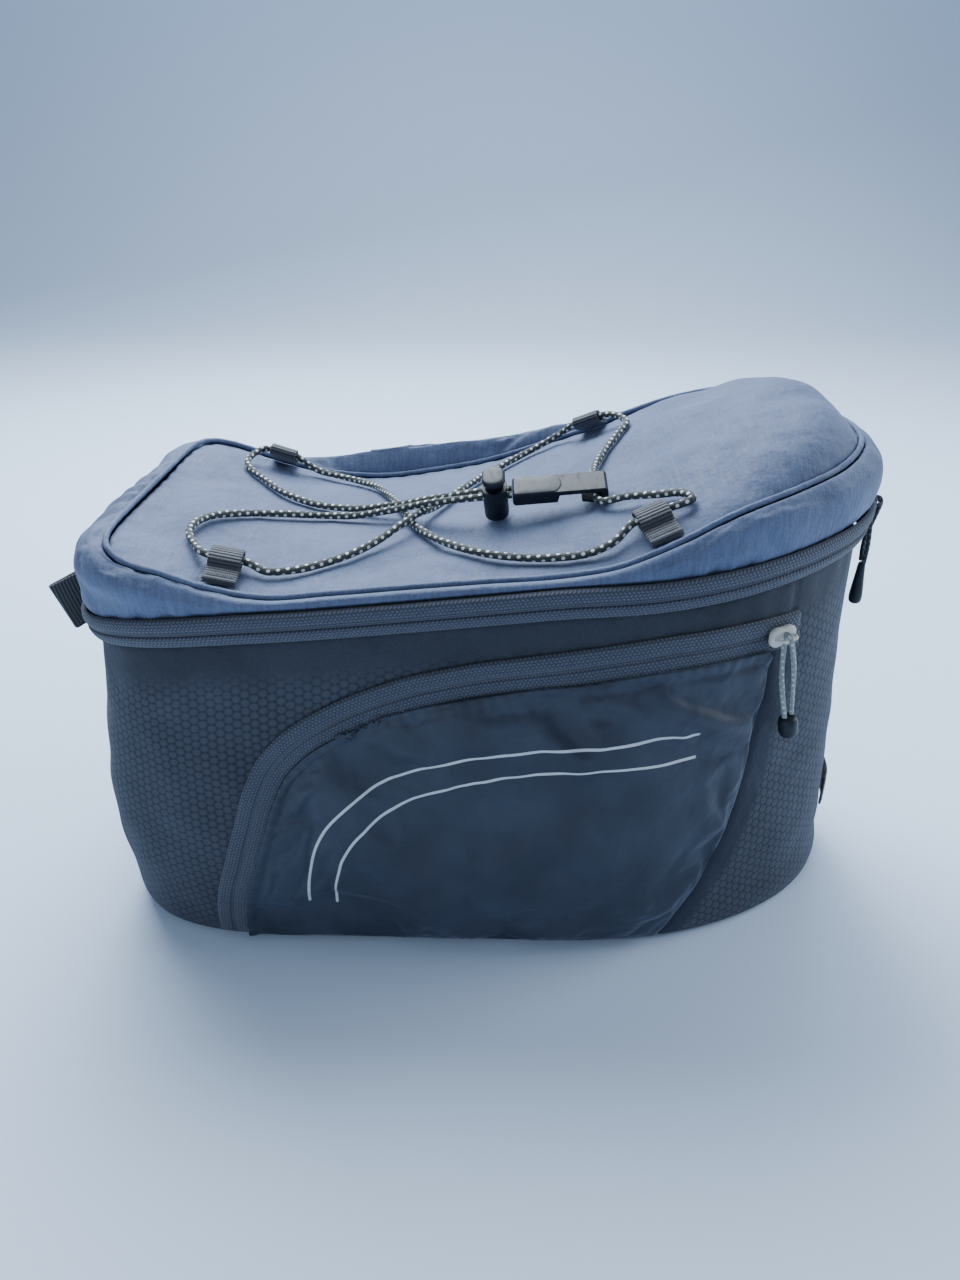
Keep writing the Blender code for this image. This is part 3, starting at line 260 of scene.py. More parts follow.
def pocketFinish():
    cloth = Finish("pocketCloth", colours["pocket"], 0.5, Sheen_Weight=0.25, Sheen_Roughness=0.35,
                   Sheen_Tint=(0.55, 0.7, 1.0, 1.0))
    along, across = cloth.alongAcross()
    turn = 2 * pi / (1.3 * mm)
    weave = (along * turn).wave() * (across * turn).wave() * 0.5 + 0.5
    patches = cloth.noise(30 * mm, detail=4).between(0.35, 0.7)
    grain = cloth.noise(0.9 * mm)
    upper, lower = cloth.attribute("upperStripe").size(), cloth.attribute("lowerStripe").size()
    near = cloth.maths("MINIMUM", upper, lower)
    ends = cloth.attribute("stripeEnds")        # 1 along the lines, 0 past their ends
    stripe = (1 - near.between(0.55 * mm, 0.85 * mm)) * ends.between(0.4, 0.6)
    base = cloth.mix(weave * 0.3 + patches * 0.35 + grain * 0.3, colours["pocket"], colours["pocketLight"])
    cloth.paint(cloth.mix(stripe, base, colours["silver"]))
    cloth.set("Roughness", (0.46 + grain * 0.2) * (1 - stripe) + stripe * 0.38)
    cloth.relief(weave * 0.6 + grain * 0.4, 0.14 * mm, 0.6)
    cloth.relief(stripe, 0.12 * mm, 0.6)
    cloth.relief(cloth.noise(16 * mm, detail=4, rough=0.5), 2.6 * mm, 0.6)
    return cloth.material


# knitted tape: slanted stitches that change their lean at each row, coarser next to the teeth
def tapeFinish():
    tape = Finish("zipTape", colours["tape"], 0.85, Sheen_Weight=0.12, Sheen_Roughness=0.5)
    along, across = tape.alongAcross()
    rows = across / (1.5 * mm)
    lean = (rows.whole() * 0.5).part() * 4 - 1                  # 1 and -1, row by row
    slant = (along / (1.9 * mm) + rows.part() * 0.5 * lean).part()
    stitch = (1 - (slant - 0.5).size() * 2) * (1 - (rows.part() - 0.5).size() * 1.6)
    grain = tape.noise(0.8 * mm)
    tape.paint(tape.mix(stitch * 0.80 + grain * 0.25 - 0.05, colours["tape"], colours["tapeLight"]))
    tape.relief(stitch, 0.5 * mm, 1.0)
    tape.relief(grain, 0.1 * mm, 0.5)
    return tape.material


def teethFinish():
    teeth = Finish("zipTeeth", colours["tape"], 0.45)
    grain = teeth.noise(0.6 * mm)
    worn = teeth.noise(6 * mm, detail=3)
    along, across = teeth.alongAcross()
    middle = across.size().between(0.10 * mm, 0.32 * mm)       # 0 on the line where the two rows meet
    slant = (along / (1.3 * mm) + across.size() / (1.6 * mm)).part()
    tick = (1 - (slant - 0.5).size() * 2) * middle
    share = tick * 0.6 + grain * 0.2 + worn * 0.1
    teeth.paint(teeth.mix(share, colours["teethDark"], colours["tapeLight"]))
    teeth.relief(grain, 0.05 * mm, 0.5)
    return teeth.material


# ribs run across the webbing, with fine threads along it
def webbingFinish():
    web = Finish("webbing", colours["webbing"], 0.72, Sheen_Weight=0.25, Sheen_Roughness=0.5)
    along, across = web.alongAcross()
    rib = ((along * (2 * pi / (1.75 * mm))).wave() * 0.5 + 0.5)
    threads = (across * (2 * pi / (0.9 * mm))).wave() * 0.5 + 0.5
    grain = web.noise(0.8 * mm)
    web.paint(web.mix(rib * 0.75 + grain * 0.25 - 0.1, colours["webbing"], colours["webbingLight"]))
    web.relief(rib * 0.8 + threads * 0.2, 0.45 * mm, 1.0)
    web.relief(grain, 0.12 * mm, 0.5)
    return web.material


# braided sleeve: two sets of strands that wind opposite ways, with bright flecks in spiral rows
def braidFinish(name, dark, light, fleck, strand, fleckPitch, rowsOfFlecks):
    braid = Finish(name, dark, 0.62)
    along, around = braid.alongAcross()
    left = ((along / strand + around * 6) * (2 * pi)).wave()
    right = ((along / strand - around * 6) * (2 * pi)).wave()
    weave = (left * right) * 0.5 + 0.5
    rows = around * rowsOfFlecks
    step = (along / fleckPitch + (rows.whole() * 0.5)).part() - 0.5
    side = rows.part() - 0.5
    dot = 1 - (((step / 0.21) ** 2.0) + ((side / 0.30) ** 2.0)).between(0.7, 1.15)
    grain = braid.noise(0.5 * mm)
    base = braid.mix(weave * 0.55 + grain * 0.25, dark, light)
    braid.paint(braid.mix(dot, base, fleck))
    braid.set("Roughness", 0.7 - dot * 0.35)
    braid.relief(weave * 0.7 + dot * 0.3, 0.3 * mm, 0.9)
    return braid.material


def plasticFinish(name, colour, light, roughness):
    shell = Finish(name, colour, roughness, Coat_Weight=0.04, Coat_Roughness=0.3, Specular_IOR_Level=0.3)
    scuffs = shell.noise(2.2 * mm, shell.place((1.0, 0.2, 1.0)), detail=4).between(0.5, 0.75)
    grain = shell.noise(0.35 * mm)
    shell.paint(shell.mix(scuffs * 0.22 + grain * 0.12, colour, light))
    shell.set("Roughness", roughness + scuffs * 0.16 + grain * 0.05)
    shell.relief(grain, 0.03 * mm, 0.5)
    return shell.material


def threadFinish():
    thread = Finish("thread", colours["thread"], 0.7)
    twist = thread.noise(0.4 * mm)
    thread.paint(thread.mix(twist * 0.7, colours["thread"], colours["tapeLight"]))
    thread.relief(twist, 0.05 * mm)
    return thread.material


def floorFinish():
    floor = Finish("floor", studio["floor"], 0.9)
    floor.paint(floor.mix(floor.noise(0.6, detail=2) * 0.25, studio["floor"], (0.68, 0.76, 0.90)))
    return floor.material


finishes = {
    "body": bodyFinish(), "lid": lidFinish(), "pocket": pocketFinish(), "tape": tapeFinish(),
    "teeth": teethFinish(), "webbing": webbingFinish(), "thread": threadFinish(),
    # dark and light strands, flecks, then a strand's pitch, the flecks' pitch and their rows
    "cord": braidFinish("elasticCord", colours["cord"], colours["cordLight"], colours["fleck"],
                        2.4 * mm, 4.4 * mm, 4),
    "pull": braidFinish("pullCord", colours["pull"], colours["pullLight"], (0.52, 0.57, 0.58),
                        1.8 * mm, 3.4 * mm, 3),
    "darkPull": braidFinish("darkPullCord", (0.008, 0.010, 0.014), (0.05, 0.056, 0.07), (0.10, 0.115, 0.13),
                            1.8 * mm, 3.4 * mm, 3),
    "black": plasticFinish("blackPlastic", colours["black"], (0.05, 0.06, 0.085), 0.42),
    "pale": plasticFinish("palePlastic", colours["pale"], (0.75, 0.74, 0.70), 0.42),
}
print("finishes")


# Meshes from grids of points: four corners of each face
def gridFaces(rows, cols, closed):
    i, j = np.meshgrid(np.arange(rows - 1), np.arange(cols if closed else cols - 1), indexing="ij")
    k = (j + 1) % cols
    return np.stack([i * cols + j, i * cols + k, (i + 1) * cols + k, (i + 1) * cols + j], -1).reshape(-1, 4)


def addObject(name, mesh, finish):
    mesh.materials.append(finish)
    mesh.shade_smooth()
    ob = bpy.data.objects.new(name, mesh)
    bpy.context.scene.collection.objects.link(ob)
    return ob


def attach(ob, replaces=(), body="bag"):
    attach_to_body(ob, body)
    if replaces:
        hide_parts(*replaces)
    return ob


# Strips across a closed ring that runs out along a line and back, from its first point on
def zipFaces(first, count):
    half = count // 2
    step = np.arange(1, half - 1)
    strips = np.stack([step, step + 1, count - step - 1, count - step], -1) + first
    ends = [[first, first + 1, first + count - 1], [first + half - 1, first + half, first + half + 1]]
    return strips.tolist() + ends


# A piece of the bag from rows of points. uv gives two numbers for each point, and one column more
# than the points have where the rows are closed. caps closes the first or last row, and zipped
# closes the last one by strips across it.
def addPiece(name, points, finish, uv=None, closed=False, caps=(), wall=0.0, levels=0, replaces=(),
             body="bag", values=None, even=True, relax=None, flip=False, zipped=False):
    rows, cols = points.shape[:2]
    allFaces = gridFaces(rows, cols, closed).tolist()
    last = (rows - 1) * cols
    if flip:
        allFaces = [face[::-1] for face in allFaces]
    if zipped:
        allFaces += zipFaces(last, cols)
    for cap in caps:
        ring = list(range(cols)) if cap == 0 else list(range(last, rows * cols))
        turned = (cap == 0) != flip
        allFaces.append(ring[::-1] if turned else ring)
    mesh = bpy.data.meshes.new(name)
    mesh.from_pydata(points.reshape(-1, 3).tolist(), [], allFaces)
    if uv is not None:
        corners = uv.reshape(-1, 2)[gridFaces(rows, uv.shape[1], False)]
        if flip:
            corners = corners[:, ::-1]
        corners = corners.reshape(-1, 2)
        extra = len(mesh.loops) - len(corners)
        layer = mesh.uv_layers.new(name="cloth")
        layer.data.foreach_set("uv", np.vstack([corners, np.zeros((extra, 2))]).ravel())
    for label, numbers in (values or {}).items():
        mesh.attributes.new(label, "FLOAT", "POINT").data.foreach_set("value", numbers.ravel())
    ob = addObject(name, mesh, finishes[finish])
    if relax:
        relaxed(ob, points, closed, relax)
    if levels:
        smoother = ob.modifiers.new("smoother", "SUBSURF")
        smoother.levels = smoother.render_levels = levels
    if wall:
        solid = ob.modifiers.new("wall", "SOLIDIFY")
        solid.thickness = wall
        solid.offset = -1
        solid.use_even_offset = even
    return attach(ob, replaces, body)


# Outward directions of a grid, from the cross product of its two runs
def gridNormals(points, closed):
    if closed:
        run = np.roll(points, -1, 1) - np.roll(points, 1, 1)
    else:
        run = np.gradient(points, axis=1)
    rise = np.gradient(points, axis=0)
    normal = np.cross(run, rise)
    return normal / np.maximum(np.linalg.norm(normal, axis=-1), 1e-12)[..., None]


# Cloth pinned along its seams, cut a little too large and blown out from inside. Each point may
# move at most "cap" outwards and "inward" inwards, along the surface's own direction.
def relaxed(ob, points, closed, how):
    rows, cols = points.shape[:2]
    index = np.arange(rows * cols).reshape(rows, cols)
    pins = set(index[0].tolist() + index[-1].tolist())
    if not closed:
        pins |= set(index[:, 0].tolist() + index[:, -1].tolist())
    sewn = ob.vertex_groups.new(name="sewn")
    sewn.add(sorted(pins), 1.0, "REPLACE")
    cloth = ob.modifiers.new("cloth", "CLOTH")
    cloth.settings.vertex_group_mass = "sewn"
    cloth.settings.quality = 6
    cloth.settings.mass = 0.15
    cloth.settings.effector_weights.gravity = 0
    cloth.settings.use_pressure = True
    cloth.settings.uniform_pressure_force = how["pressure"]
    cloth.settings.shrink_min = -how["slack"]
    cloth.settings.shrink_max = -how["slack"]
    cloth.settings.bending_stiffness = how["stiff"]
    scene = bpy.context.scene
    for frameNumber in range(1, 21):
        scene.frame_set(frameNumber)
    settled = ob.evaluated_get(bpy.context.evaluated_depsgraph_get()).data
    moved = np.empty(rows * cols * 3)
    settled.vertices.foreach_get("co", moved)
    shift = moved.reshape(rows, cols, 3) - points
    normal = gridNormals(points, closed)
    room = how.get("room", np.ones((rows, cols)))
    outwards = np.clip((shift * normal).sum(-1), -how["inward"] * room, how["cap"] * room)
    sideways = shift - normal * (shift * normal).sum(-1)[..., None]
    reach = np.linalg.norm(sideways, axis=-1)[..., None]
    sideways *= np.minimum(1, how["cap"] / 2 * room[..., None] / np.maximum(reach, 1e-9))
    scene.frame_set(1)
    ob.modifiers.remove(cloth)
    ob.vertex_groups.clear()
    final = points + normal * outwards[..., None] + sideways
    ob.data.vertices.foreach_set("co", final.ravel())
    ob.data.update()
    print("  cloth settled:", ob.name, "moved up to", round(float(np.abs(outwards).max()) * 1000, 1), "mm")


# Soft unevenness: sine waves of one rough size in all directions of space, about -1 to 1
def waves(points, size, seed, count=28, squash=(1, 1, 1)):
    rng = np.random.default_rng(seed)
    way = rng.normal(size=(count, 3))
    way /= np.linalg.norm(way, axis=1)[:, None]
    way *= (2 * pi / (size * rng.uniform(0.7, 1.7, count)))[:, None] * np.array(squash)
    turn = rng.uniform(0, 2 * pi, count)
    return np.sin(points @ way.T + turn).sum(-1) / np.sqrt(count / 2) / 1.6


# Waves of several sizes together: size, height in mm and seed of each
def unevenness(points, table, seed=0):
    return sum(waves(points, size, seed + own) * height for size, height, own in table) * mm


# Cubic through a table's rows, flat beyond its ends
def smoothAt(at, xs, ys):
    slope = np.gradient(ys, xs)
    at = np.clip(np.asarray(at, float), xs[0], xs[-1])
    i = np.clip(np.searchsorted(xs, at) - 1, 0, len(xs) - 2)
    step = xs[i + 1] - xs[i]
    t = (at - xs[i]) / step
    return ((2 * t**3 - 3 * t**2 + 1) * ys[i] + (t**3 - 2 * t**2 + t) * step * slope[i]
            + (3 * t**2 - 2 * t**3) * ys[i + 1] + (t**3 - t**2) * step * slope[i + 1])


# Points at shares of a polyline's length
def evenly(points, shares):
    run = np.r_[0, np.cumsum(np.linalg.norm(np.diff(points, axis=0), axis=1))]
    where = np.asarray(shares, float) * run[-1]
    return np.column_stack([np.interp(where, run, points[:, k]) for k in range(points.shape[1])])


# Smooth line through points, each stretch a cubic, then spaced evenly
def through(points, count):
    points = np.asarray(points, float)
    place = np.r_[0, np.cumsum(np.linalg.norm(np.diff(points, axis=0), axis=1))]
    fine = np.linspace(0, place[-1], len(points) * 14)
    line = np.column_stack([smoothAt(fine, place, points[:, k]) for k in range(points.shape[1])])
    return evenly(line, np.linspace(0, 1, count))


def lengths(points):
    return np.r_[0, np.cumsum(np.linalg.norm(np.diff(points, axis=0), axis=1))]


# A round tube: circles square to the path, turned from one fixed direction
def tubePoints(path, radius, sides, towards, closed=False):
    path = np.asarray(path, float)
    if closed:
        run = np.roll(path, -1, 0) - np.roll(path, 1, 0)
    else:
        run = np.gradient(path, axis=0)
    run /= np.linalg.norm(run, axis=1)[:, None]
    first = np.cross(run, np.asarray(towards, float))
    first /= np.linalg.norm(first, axis=1)[:, None]
    second = np.cross(run, first)
    turn = np.linspace(0, 2 * pi, sides, endpoint=False)
    radius = np.broadcast_to(radius, len(path))[:, None, None]
    ring = first[:, None] * np.cos(turn)[None, :, None] + second[:, None] * np.sin(turn)[None, :, None]
    return path[:, None] + ring * radius


def addTube(name, path, radius, finish, towards=(0, 0, 1), sides=14, twist=0.0, **more):
    points = tubePoints(path, radius, sides, towards)
    along = lengths(np.asarray(path, float))
    around = np.linspace(0, 1, sides + 1)
    uv = np.stack(np.broadcast_arrays(along[:, None], around[None] + twist * along[:, None]), -1)
    return addPiece(name, points, finish, uv=uv, closed=True, caps=(0, -1), flip=True, **more)


# the bag's form, the same formulas and tables as the frame has
bag = {
    "frontX": -0.07256, "frontEnd": 0.121, "straightSide": 0.125, "rearEnd": 0.157, "halfWidth": 0.101,
    "height": 0.266, "lidShift": -0.0025, "zipBand": 0.017, "zipSwell": 0.0016, "tapeWall": 0.0014,
}
frontX = bag["frontX"]
rearX = frontX + bag["straightSide"]
bagStart = frontX - bag["frontEnd"]
bagLength = bag["frontEnd"] + bag["straightSide"] + bag["rearEnd"]
bagHeight = bag["height"]
# levels: share of the seam's height, then the reach of front and rear, half width, corner
bodyLevels = np.array([
    (0.000, 0.945, 0.965, 0.945, 3.4), (0.012, 0.966, 0.986, 0.970, 3.5), (0.035, 0.980, 0.996, 0.985, 3.6),
    (0.130, 0.992, 0.990, 0.998, 3.8), (0.500, 1.000, 0.957, 1.000, 4.0), (0.700, 0.975, 0.944, 0.994, 4.0),
    (0.860, 0.940, 0.932, 0.982, 4.2), (1.000, 0.912, 0.930, 0.966, 4.4),
])
zipTop = (0.935, 0.955, 1.005, 4.6)
pipingLine = (0.760, 0.888, 0.915, 8.0)
seamHeights = np.array([
    (0.022, 0.635), (0.089, 0.654), (0.151, 0.665), (0.221, 0.675), (0.298, 0.684), (0.372, 0.695),
    (0.501, 0.716), (0.605, 0.733), (0.710, 0.742), (0.782, 0.752), (0.841, 0.763), (0.903, 0.774),
    (0.983, 0.782),
])
# along, near edge, far edge, crown, near roll, far roll, how square the crown is
lidRows = np.array([
    (0.072, 0.838, 0.838, 0.000, 0.012, 0.012, 2.0), (0.104, 0.816, 0.823, 0.004, 0.012, 0.012, 2.0),
    (0.144, 0.801, 0.801, 0.011, 0.010, 0.014, 2.0), (0.194, 0.776, 0.774, 0.017, 0.008, 0.020, 2.0),
    (0.258, 0.758, 0.750, 0.022, 0.006, 0.042, 2.0), (0.337, 0.767, 0.742, 0.022, 0.006, 0.062, 2.0),
    (0.424, 0.780, 0.759, 0.020, 0.006, 0.064, 2.0), (0.501, 0.791, 0.782, 0.019, 0.006, 0.060, 2.0),
    (0.603, 0.806, 0.833, 0.022, 0.006, 0.048, 2.0), (0.650, 0.820, 0.858, 0.026, 0.008, 0.038, 2.0),
    (0.705, 0.853, 0.898, 0.032, 0.010, 0.024, 2.1), (0.772, 0.898, 0.940, 0.050, 0.012, 0.016, 2.8),
    (0.846, 0.925, 0.970, 0.066, 0.012, 0.014, 4.0), (0.908, 0.940, 0.968, 0.060, 0.012, 0.012, 4.0),
    (0.956, 0.955, 0.957, 0.000, 0.012, 0.012, 4.0),
])


def sized(front, rear, half, corner):
    return front * bag["frontEnd"], rear * bag["rearEnd"], half * bag["halfWidth"], corner


def levelSizes(share):
    return sized(*[smoothAt(share, bodyLevels[:, 0], bodyLevels[:, k]) for k in range(1, 5)])


# Half width of a plan outline at x: straight, a superellipse in front and an ellipse behind
def halfWidthAt(x, front, rear, half, corner):
    past = np.where(x < frontX, (frontX - x) / front, np.maximum(x - rearX, 0) / rear)
    power = np.where(x < frontX, corner, 2.0)
    return half * np.maximum(1 - np.clip(past, 0, 1)**power, 1e-9)**(1 / power)


# The same outline as points, from the middle of the front along -Y to the rear and back
def outlineAt(front, rear, half, corner, shares):
    turn = np.linspace(0, pi / 2, 160)
    bend = 2 / corner
    near = np.column_stack([
        np.r_[frontX - front * np.cos(turn)**bend, rearX + rear * np.sin(turn)],
        np.r_[-half * np.sin(turn)**bend, -half * np.cos(turn)]])
    return evenly(np.vstack([near, near[::-1][1:] * (1, -1)]), shares)


def seamHeight(x):
    return smoothAt((x - bagStart) / bagLength, seamHeights[:, 0], seamHeights[:, 1]) * bagHeight


# The lid: its two edges blended across, with a crown between them
def lidHeight(x, y):
    share = (np.asarray(x, float) - bagStart) / bagLength
    near, far, crown, square = (smoothAt(share, lidRows[:, 0], lidRows[:, k]) for k in (1, 2, 3, 6))
    across = np.clip((y - bag["lidShift"]) / halfWidthAt(x, *sized(*pipingLine)), -1, 1)
    return bagHeight * (near + (far - near) * (1 + across) / 2 + crown * (1 - np.abs(across)**square))


# Level directions out of a plan line, closed or not
def levelOut(points, closed):
    run = np.roll(points, -1, 0) - np.roll(points, 1, 0) if closed else np.gradient(points, axis=0)
    run = run[:, :2] / np.linalg.norm(run[:, :2], axis=1)[:, None]
    return np.column_stack([run[:, 1], -run[:, 0], np.zeros(len(run))])


# Rows of the zip's band at heights above its lower edge, bowed outwards
def bandRows(shares, rises, proud, closed=False):
    flat = outlineAt(*sized(*bodyLevels[-1, 1:]), shares)
    low = np.column_stack([flat, seamHeight(flat[:, 0])])
    flat = outlineAt(*sized(*zipTop), shares)
    high = np.column_stack([flat, seamHeight(flat[:, 0]) + bag["zipBand"]])
    out = levelOut(low, closed)
    k = np.asarray(rises)[:, None, None] / bag["zipBand"]
    proud = np.asarray(proud)[:, None, None]
    return low + (high - low) * k + out * (bag["zipSwell"] * 4 * k * (1 - k) + proud)


# How far the padded cloth of the body stands off or sinks, at points in space
def bodyDents(points):
    top = np.clip((seamHeight(points[..., 0]) - points[..., 2]) / 0.03, 0, 1)
    foot = np.clip(points[..., 2] / 0.02, 0, 1)
    return unevenness(points, tub["dents"]) * top * foot


bungee = {
    "diameter": 3.6 * mm, "sides": 18,
    "route": [
        (21.6, -28.9, 230.9), (4.0, -28.7, 229.0), (-14.5, -21.8, 223.6), (-40.9, -9.7, 214.7),
        (-62.3, -1.1, 209.7), (-83.8, 8.0, 208.8), (-102.7, 20.5, 210.6), (-119.0, 38.0, 213.6),
        (-129.7, 52.5, 216.0), (-131.0, 58.9, 217.1), (-128.0, 66.2, 218.9), (-123.6, 70.9, 219.9),
        (-120.2, 72.0, 219.4), (-105.2, 71.9, 214.8), (-100.2, 72.4, 210.8), (-94.0, 72.1, 206.8),
        (-81.4, 68.6, 204.6), (-69.0, 60.6, 204.4), (-56.3, 45.8, 206.2), (-45.4, 22.5, 209.1),
        (-35.1, -6.8, 211.7), (-26.5, -31.9, 212.9), (-14.3, -51.8, 213.8), (1.6, -67.6, 214.8),
        (19.0, -77.7, 216.0), (39.1, -82.7, 217.6), (58.3, -83.0, 221.0), (67.1, -80.5, 224.8),
        (75.1, -75.0, 231.1), (91.4, -71.4, 237.6), (99.4, -71.8, 240.8), (101.1, -71.5, 241.6),
        (101.6, -70.7, 241.9), (101.3, -68.7, 242.1), (98.2, -62.7, 241.6), (88.9, -55.6, 238.3),
        (73.8, -47.5, 234.0), (64.9, -42.3, 230.0), (62.7, -38.7, 229.8), (62.3, -31.3, 232.4),
        (62.0, -21.8, 235.7), (61.5, -14.3, 233.6), (63.6, -0.2, 232.5), (70.7, 21.5, 235.3),
        (80.7, 41.9, 240.2), (85.1, 51.6, 242.5), (84.1, 57.4, 243.0), (78.3, 65.5, 243.2),
        (72.5, 69.3, 241.8), (58.7, 72.0, 235.8), (56.0, 73.2, 234.2), (53.4, 75.8, 231.4),
        (48.3, 76.2, 227.8), (35.8, 70.9, 221.9), (22.8, 60.4, 218.0), (8.7, 42.4, 215.4),
        (-5.7, 15.9, 214.7), (-18.2, -12.4, 214.8), (-25.4, -28.8, 217.3), (-31.6, -39.6, 216.3),
        (-44.7, -54.9, 211.8), (-63.4, -68.3, 208.1), (-81.9, -75.8, 206.6), (-91.9, -77.1, 207.1),
        (-98.1, -74.9, 209.6), (-104.0, -74.5, 211.4), (-117.2, -75.6, 214.5), (-120.1, -74.3, 215.0),
        (-126.0, -65.8, 215.5), (-131.8, -53.9, 217.1), (-131.6, -42.9, 217.4), (-126.8, -31.2, 216.4),
        (-115.6, -20.3, 213.6), (-99.6, -12.2, 210.6), (-83.1, -9.6, 209.1), (-60.7, -12.4, 209.9),
        (-41.5, -17.0, 214.5), (-20.4, -25.2, 221.7), (1.4, -32.4, 227.2), (21.7, -33.1, 229.4),
    ],
}
bungeePath = through(np.array(bungee["route"]) * mm, 1000)


def addBungee():
    return addTube("elasticCord", bungeePath, bungee["diameter"] / 2, "cord", sides=bungee["sides"],
                   twist=9.0, replaces=["bungee_cord"])


cordPiece = addBungee()
print("elastic cord", round(float(lengths(bungeePath)[-1]), 3), "m")


# padded tub
pocketRear = [
    (0.834, 0.630), (0.832, 0.560), (0.826, 0.480), (0.822, 0.395), (0.813, 0.310), (0.798, 0.225),
    (0.778, 0.140), (0.750, 0.070), (0.730, 0.022),
]
tub = {
    "round": 420, "wall": 3.0 * mm, "plainBelowZip": 22 * mm, "pucker": 0.45 * mm,
    "seamX": 154 * mm, "seamWidth": 0.9 * mm, "seamFoot": 165 * mm, "seamDepth": 1.3 * mm,
    "tuckedEdge": 0.5 * mm, "dents": [(0.075, 1.0, 3), (0.028, 0.45, 4)],
}


# How far points lie behind the pocket's rear edge, measured level
def rearGap(points):
    line = through(np.array(pocketRear), 60)[::-1]
    x, z = bagStart + line[:, 0] * bagLength, line[:, 1] * bagHeight
    return points[..., 0] - np.interp(points[..., 2], z, x)


def addTub():
    shares = np.arange(tub["round"]) / tub["round"]
    heights = np.r_[np.linspace(0, 0.05, 8), np.linspace(0.065, 0.9, 46), np.linspace(0.912, 1, 10)]
    rows = []
    for height in heights:
        flat = outlineAt(*levelSizes(height), shares)
        rows.append(np.column_stack([flat, height * seamHeight(flat[:, 0])]))
    points = np.array(rows)
    normal = gridNormals(points, True)
    below = seamHeight(points[..., 0]) - points[..., 2]
    around = shares * 1.005
    pucker = np.sin(around * 2 * pi / 0.019 + 2.2 * np.sin(around * 31)) * np.sin(around * 9 + 1)
    pucker = pucker[None] * np.exp(-below / 0.014) * (1 - np.exp(-below / 0.003)) * tub["pucker"]
    # the upright seam over each pocket's slider
    middle = tub["seamX"]
    seam = np.exp(-((points[..., 0] - middle) / tub["seamWidth"])**2)
    seam = seam * (points[..., 2] > tub["seamFoot"]) * (np.abs(points[..., 1]) < 0.11)
    edge = np.exp(-below / (1.2 * mm))
    lift = bodyDents(points) + pucker - seam * tub["seamDepth"] - edge * tub["tuckedEdge"]
    points = points + normal * lift[..., None]
    # strip behind each pocket's rear edge, painted later in the pocket cloth's darker colours as pocket cloth
    # and as painted shade of the fold there; sunk a little where the two cloths meet
    behind = rearGap(points)
    strip = np.clip((behind + 3 * mm) / (3 * mm), 0, 1) * np.clip((17 * mm - behind) / (5 * mm), 0, 1)
    strip = strip * (np.abs(points[..., 1]) > 0.055) * np.clip((0.172 - points[..., 2]) / 0.006, 0, 1)
    valley = np.exp(-((behind - 1.0 * mm) / (2.2 * mm))**2) * (strip > 0) * 1.2 * mm
    points = points - normal * valley[..., None]
    # the top edge turns in behind the zip's tape
    tuck = points[-1] - normal[-1] * 1.6 * mm + (0, 0, 2.2 * mm)
    points = np.concatenate([points, tuck[None]])
    strip = np.concatenate([strip, strip[-1:]])
    below = np.concatenate([below, below[-1:]])
    # the flat base shrinks to the bag's middle line
    foot = points[0].copy()
    foot[:, 2] = 0
    core = np.column_stack([np.clip(foot[:, 0], frontX, rearX), np.zeros(len(foot)), np.zeros(len(foot))])
    base = np.array([core + (foot - core) * k for k in (0.05, 0.35, 0.65, 0.9)])
    points = np.concatenate([base, points])
    height = np.r_[-0.09, -0.06, -0.03, -0.01, heights * 0.19, 0.192]
    uv = np.stack(np.broadcast_arrays(np.linspace(0, 1.005, len(shares) + 1)[None], height[:, None]), -1)
    plain = 1 - np.clip((below / tub["plainBelowZip"] - 0.6) / 0.6, 0, 1)
    plain = np.concatenate([np.zeros((4, len(shares))), plain])
    strip = np.concatenate([np.zeros((4, len(shares))), strip])
    # the strip's values mark where pocket cloth and painted shade of the fold go
    ob = addPiece("paddedTub", points, "body", uv=uv, closed=True, caps=(0,), wall=tub["wall"],
                  replaces=["body_shell"], values={"plain": plain, "gussetAndShade": strip})


addTub()
print("tub")


# main zip: two knitted tapes, the teeth between them, and the cloth band behind
zipBand = {
    "start": 33 * mm, "pastEnd": 12 * mm, "gap": 0.3 * mm, "teeth": 2.2 * mm,
    "pitch": 1.3 * mm, "puff": 1.2 * mm,
}


def zipShares(count):
    flat = outlineAt(*sized(*bodyLevels[-1, 1:]), np.linspace(0, 1, 800))
    around = lengths(flat)[-1]
    start, stop = zipBand["start"] / around, 0.5 + zipBand["pastEnd"] / around
    return np.linspace(start, stop, count), around, start, stop


# Strip of the band between two heights: a bowed cross section whose edges turn in at the seams
def bandStrip(name, shares, low, high, puff, finish, replaces, wall=1.0 * mm, rows=9):
    t = np.linspace(0, 1, rows)
    proud = bag["tapeWall"] + puff * (1 - (2 * t - 1)**4) - 0.9 * mm * (t == 0) - 0.9 * mm * (t == 1)
    points = bandRows(shares, low + (high - low) * t, proud)
    along = lengths(points[rows // 2])
    uv = np.stack(np.broadcast_arrays(along[None], (low + (high - low) * t)[:, None]), -1)
    return addPiece(name, points, finish, uv=uv, wall=wall, replaces=replaces)


# Teeth: two rounded ridges with a groove between them, bumped once for each tooth
def addTeeth(name, points, normal, along, replaces, pitch):
    rows = points.shape[0]
    t = np.linspace(-1, 1, rows)
    ridge = np.abs(np.sin(t * pi))**0.6 * np.sqrt(np.maximum(1 - t**2 * 0.8, 0))
    bump = 0.5 + 0.5 * np.sin(2 * pi * along[None] / pitch + np.where(t > 0, pi, 0)[:, None])
    lift = ridge[:, None] * (0.25 + 0.35 * bump) * mm
    uv = np.stack(np.broadcast_arrays(along[None], t[:, None] * mm), -1)
    return addPiece(name, points + normal * lift[..., None], "teeth", uv=uv, wall=1.0 * mm,
                    replaces=replaces, even=False)


